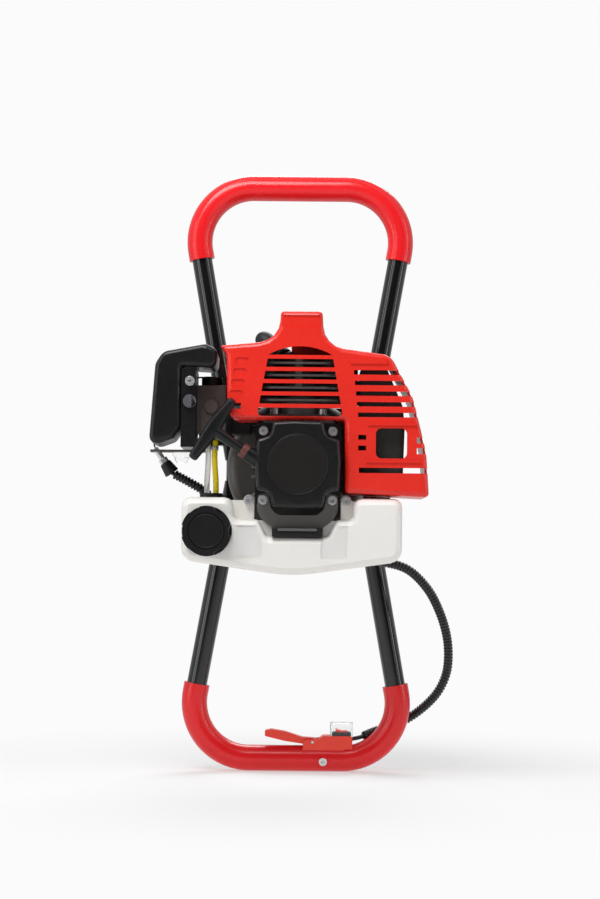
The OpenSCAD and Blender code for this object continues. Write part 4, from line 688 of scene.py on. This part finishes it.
class AUGER_OT_handles(bpy.types.Operator):
    """Finishes the two bent tubes, their dipped sleeves and the plate that holds them"""
    bl_idname = "auger.handles"
    bl_label = "Handles and plate"

    def execute(self, context):
        dress(["upper_tube", "lower_tube", "upper_grip", "lower_grip"], edge=0.0008)
        dress(["frame_plate", "tube_clamps", "frame_bolts", "grip_screw"])
        return {"FINISHED"}


class AUGER_OT_gearbox(bpy.types.Operator):
    """Finishes the reduction gearbox, its shafts and the clutch"""
    bl_idname = "auger.gearbox"
    bl_label = "Gearbox and clutch"

    def execute(self, context):
        dress(["gearbox_case", "gearbox_cover", "output_shaft", "layshaft", "clutch_drum", "bearings",
               "oil_seal", "fan_housing", "flywheel", "clutch_shoes"])
        return {"FINISHED"}


class AUGER_OT_engine(bpy.types.Operator):
    """Finishes the engine block, its moving inside, the silencer and the ignition"""
    bl_idname = "auger.engine"
    bl_label = "Engine"

    def execute(self, context):
        dress(["crankshaft", "connecting_rod", "piston", "crankcase", "spark_plug", "ignition_coil",
               "intake_insulator", "engine_screws"])
        dress(["cylinder_block"], edge=0.0003)
        dress(["muffler"], edge=0.001)
        return {"FINISHED"}


class AUGER_OT_shroud(bpy.types.Operator):
    """Finishes the moulded shroud with its grilles and makes the dark strips of painted shade behind them
    """
    bl_idname = "auger.shroud"
    bl_label = "Shroud"

    def execute(self, context):
        dress(["shroud"], edge=0.0012, degrees=48)
        for name, *spans in SHADE_SHEETS:
            self.shade_sheet(context, name, spans)
        return {"FINISHED"}

    def shade_sheet(self, context, name, spans):
        """A dark strip of sheet behind the cylinder: painted shade that darkens the view through the grille
        openings.
        """
        clear_pick()
        bpy.ops.mesh.primitive_cube_add(
            size=1, location=[(a + b) / 2 for a, b in spans], scale=[b - a for a, b in spans])
        sheet = context.object
        settle(sheet)
        rounded(sheet, 0.0003, 2)
        # The matt black finish makes this sheet painted shade inside the grille openings
        finish_piece(sheet, name, finish_for("muffler_black"), "power_head")


class AUGER_OT_fuel(bpy.types.Operator):
    """Finishes tank, cap and bracket, and makes the two fuel hoses with their spring clips"""
    bl_idname = "auger.fuel"
    bl_label = "Fuel system"

    def execute(self, context):
        z = context.scene.auger_sizes
        dress(["fuel_tank"], degrees=45, moulded=True)
        dress(["fuel_cap", "tank_grommet", "tank_bracket", "bracket_pad"])
        NODES["tank_bracket"].data.materials[0] = finish(
            "bracket_zinc", (0.15, 0.143, 0.138), 0.4, metal=0.5, mottle=0.05, grain=0.02,
            rough_spread=0.04)
        clear = finish("clear_hose", (0.86, 0.86, 0.83), 0.18, through=0.55, ior=1.42, mottle=0.03)
        for name, node, dx, bow, look, slot in (
                ("clear_hose_run", "return_line", -4, -0.0006, clear, "clear_plastic"),
                ("yellow_hose_run", "supply_line", 4, 0.0009, finish_for("fuel_yellow"), "fuel_yellow")):
            foot = LINE_FOOT + Vector((dx * MM, 0, 0))
            line = [
                foot + Vector((bow * math.sin(math.pi * 2 * i / HOSE_STEPS), 0, LINE_RUN * i / HOSE_STEPS))
                for i in range(HOSE_STEPS + 1)]
            hose = tube(name, line, [z.hose_d / 2] * len(line), 20)
            finish_piece(hose, name, look, "power_head", [node])
            self.clip(name.replace("hose_run", "hose_clip"), line[CLIP_STEP], z.hose_d / 2 + 0.0006)
        self.cap_ring()
        return {"FINISHED"}

    def clip(self, name, at, radius):
        """A spring clip of a few turns round a hose."""
        turns = [at + Vector((radius * math.cos(a), radius * math.sin(a), CLIP_PITCH * a / (2 * math.pi)))
                 for a in (2 * math.pi * CLIP_TURNS * i / 72 for i in range(73))]
        wire = tube(name, turns, [CLIP_WIRE_R] * len(turns), 8)
        finish_piece(wire, name, finish_for("bright_steel"), "power_head")

    def cap_ring(self):
        """The raised circle on the face of the fuel cap."""
        low, high = (Vector(c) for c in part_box("fuel_cap"))
        mid = (low + high) / 2
        ring = hoop("cap_circle", (mid.x, low.y, mid.z), CAP_CIRCLE_R, CAP_CIRCLE_WIRE)
        finish_piece(ring, "cap_circle", finish_for("black_moulding"), "fuel_cap")


class AUGER_OT_starter(bpy.types.Operator):
    """Finishes the recoil starter and makes its rope"""
    bl_idname = "auger.starter"
    bl_label = "Starter"

    def execute(self, context):
        z = context.scene.auger_sizes
        dress(["starter_cover"], degrees=40, moulded=True)
        dress(["starter_disc", "rope_guide", "starter_pulley"])
        dress(["starter_handle"], degrees=45, moulded=True)
        self.face_marks(context)
        line = [ROPE_FROM + ROPE_LINE * (ROPE_INSIDE + ROPE_RUN * i / ROPE_STEPS)
                for i in range(ROPE_STEPS + 1)]
        rope = tube("braided_rope", line, [z.rope_d / 2] * len(line), 16)
        rope.data.materials.append(finish_for("rope_cord"))
        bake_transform(rope)
        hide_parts("starter_rope")
        return {"FINISHED"}

    def face_marks(self, context):
        """The rim round the bare disc and the two short ticks above and below it."""
        low, high = (Vector(c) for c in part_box("starter_disc"))
        look = finish_for("black_moulding")
        ring = hoop("disc_rim", (0, high.y - 0.0004, 0), (high.z - low.z) / 2 + 0.0005, 0.0006)
        finish_piece(ring, "disc_rim", look, "power_head")
        for name, up in (("tick_above", TICK_UP), ("tick_below", -TICK_UP)):
            clear_pick()
            bpy.ops.mesh.primitive_cube_add(size=1, location=(0, high.y, up), scale=TICK_SIZE)
            tick = context.object
            settle(tick)
            rounded(tick, 0.0002, 2)
            finish_piece(tick, name, look, "power_head")


class AUGER_OT_intake(bpy.types.Operator):
    """Finishes the carburettor and the air filter, and makes the filter's foam"""
    bl_idname = "auger.intake"
    bl_label = "Intake and filter"

    def execute(self, context):
        dress(["filter_cover"], degrees=40, moulded=True)
        dress(["carburettor", "carb_lever", "primer_bulb", "filter_base", "choke_lever"])
        NODES["carburettor"].data.materials[0] = finish(
            "carburettor_alloy", (0.135, 0.115, 0.105), 0.46, metal=0.7, mottle=0.2,
            grain=0.3, grain_scale=1500)
        self.foam(context)
        return {"FINISHED"}

    def foam(self, context):
        low, high = (Vector(c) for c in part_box("filter_element"))
        mid, size = (low + high) / 2, high - low
        clear_pick()
        bpy.ops.mesh.primitive_cube_add(size=1, location=mid, scale=size * 0.985)
        foam = context.object
        settle(foam)
        bpy.ops.object.mode_set(mode="EDIT")
        bpy.ops.mesh.select_all(action="SELECT")
        bpy.ops.mesh.subdivide(number_cuts=23)
        bpy.ops.object.mode_set(mode="OBJECT")
        for v in foam.data.vertices:
            pleat = 0.5 + 0.5 * math.cos((v.co.y - low.y) / PLEAT_PITCH * 2 * math.pi)
            if v.co.x < mid.x:
                v.co.x += PLEAT_DEPTH * (1 - pleat) * (mid.x - v.co.x) / (size.x / 2)
        rounded(foam, 0.0015, 2, 60)
        smooth(foam, 50)
        finish_piece(foam, "filter_foam", finish_for("foam_tan"), "power_head",
                     ["filter_element"])


class AUGER_OT_throttle(bpy.types.Operator):
    """Finishes the throttle trigger, its housing and the stop switch"""
    bl_idname = "auger.throttle"
    bl_label = "Throttle and switch"

    def execute(self, context):
        dress(["throttle_housing", "throttle_trigger", "trigger_pin", "switch_bezel", "switch_rocker"],
              edge=0.0006)
        dress(["switch_cap"], edge=0.0003)
        return {"FINISHED"}


class AUGER_PT_panel(bpy.types.Panel):
    """Lists the steps that dress the power head"""
    bl_idname = "AUGER_PT_panel"
    bl_label = "Auger power head"
    bl_space_type = "VIEW_3D"
    bl_region_type = "UI"
    bl_category = "Auger"

    def draw(self, context):
        for op in OPERATORS:
            self.layout.operator(op.bl_idname)
        for group in (context.scene.auger_colours, context.scene.auger_sizes, context.scene.auger_stage):
            box = self.layout.box()
            for name in group.__annotations__:
                box.prop(group, name)


GROUPS = {"auger_colours": AugerColours, "auger_sizes": AugerSizes, "auger_stage": AugerStage}
OPERATORS = (AUGER_OT_stage, AUGER_OT_cables, AUGER_OT_handles, AUGER_OT_gearbox, AUGER_OT_engine,
             AUGER_OT_shroud, AUGER_OT_fuel, AUGER_OT_starter, AUGER_OT_intake, AUGER_OT_throttle)


def register():
    for cls in (*GROUPS.values(), *OPERATORS, AUGER_PT_panel):
        bpy.utils.register_class(cls)
    for name, group in GROUPS.items():
        setattr(bpy.types.Scene, name, bpy.props.PointerProperty(type=group))


def unregister():
    for name in GROUPS:
        delattr(bpy.types.Scene, name)
    for cls in (AUGER_PT_panel, *reversed(OPERATORS), *reversed(tuple(GROUPS.values()))):
        bpy.utils.unregister_class(cls)


def main():
    register()
    bpy.ops.auger.stage()
    bpy.ops.auger.cables()
    bpy.ops.auger.handles()
    bpy.ops.auger.gearbox()
    bpy.ops.auger.engine()
    bpy.ops.auger.shroud()
    bpy.ops.auger.fuel()
    bpy.ops.auger.starter()
    bpy.ops.auger.intake()
    bpy.ops.auger.throttle()


if __name__ == "__main__":
    main()
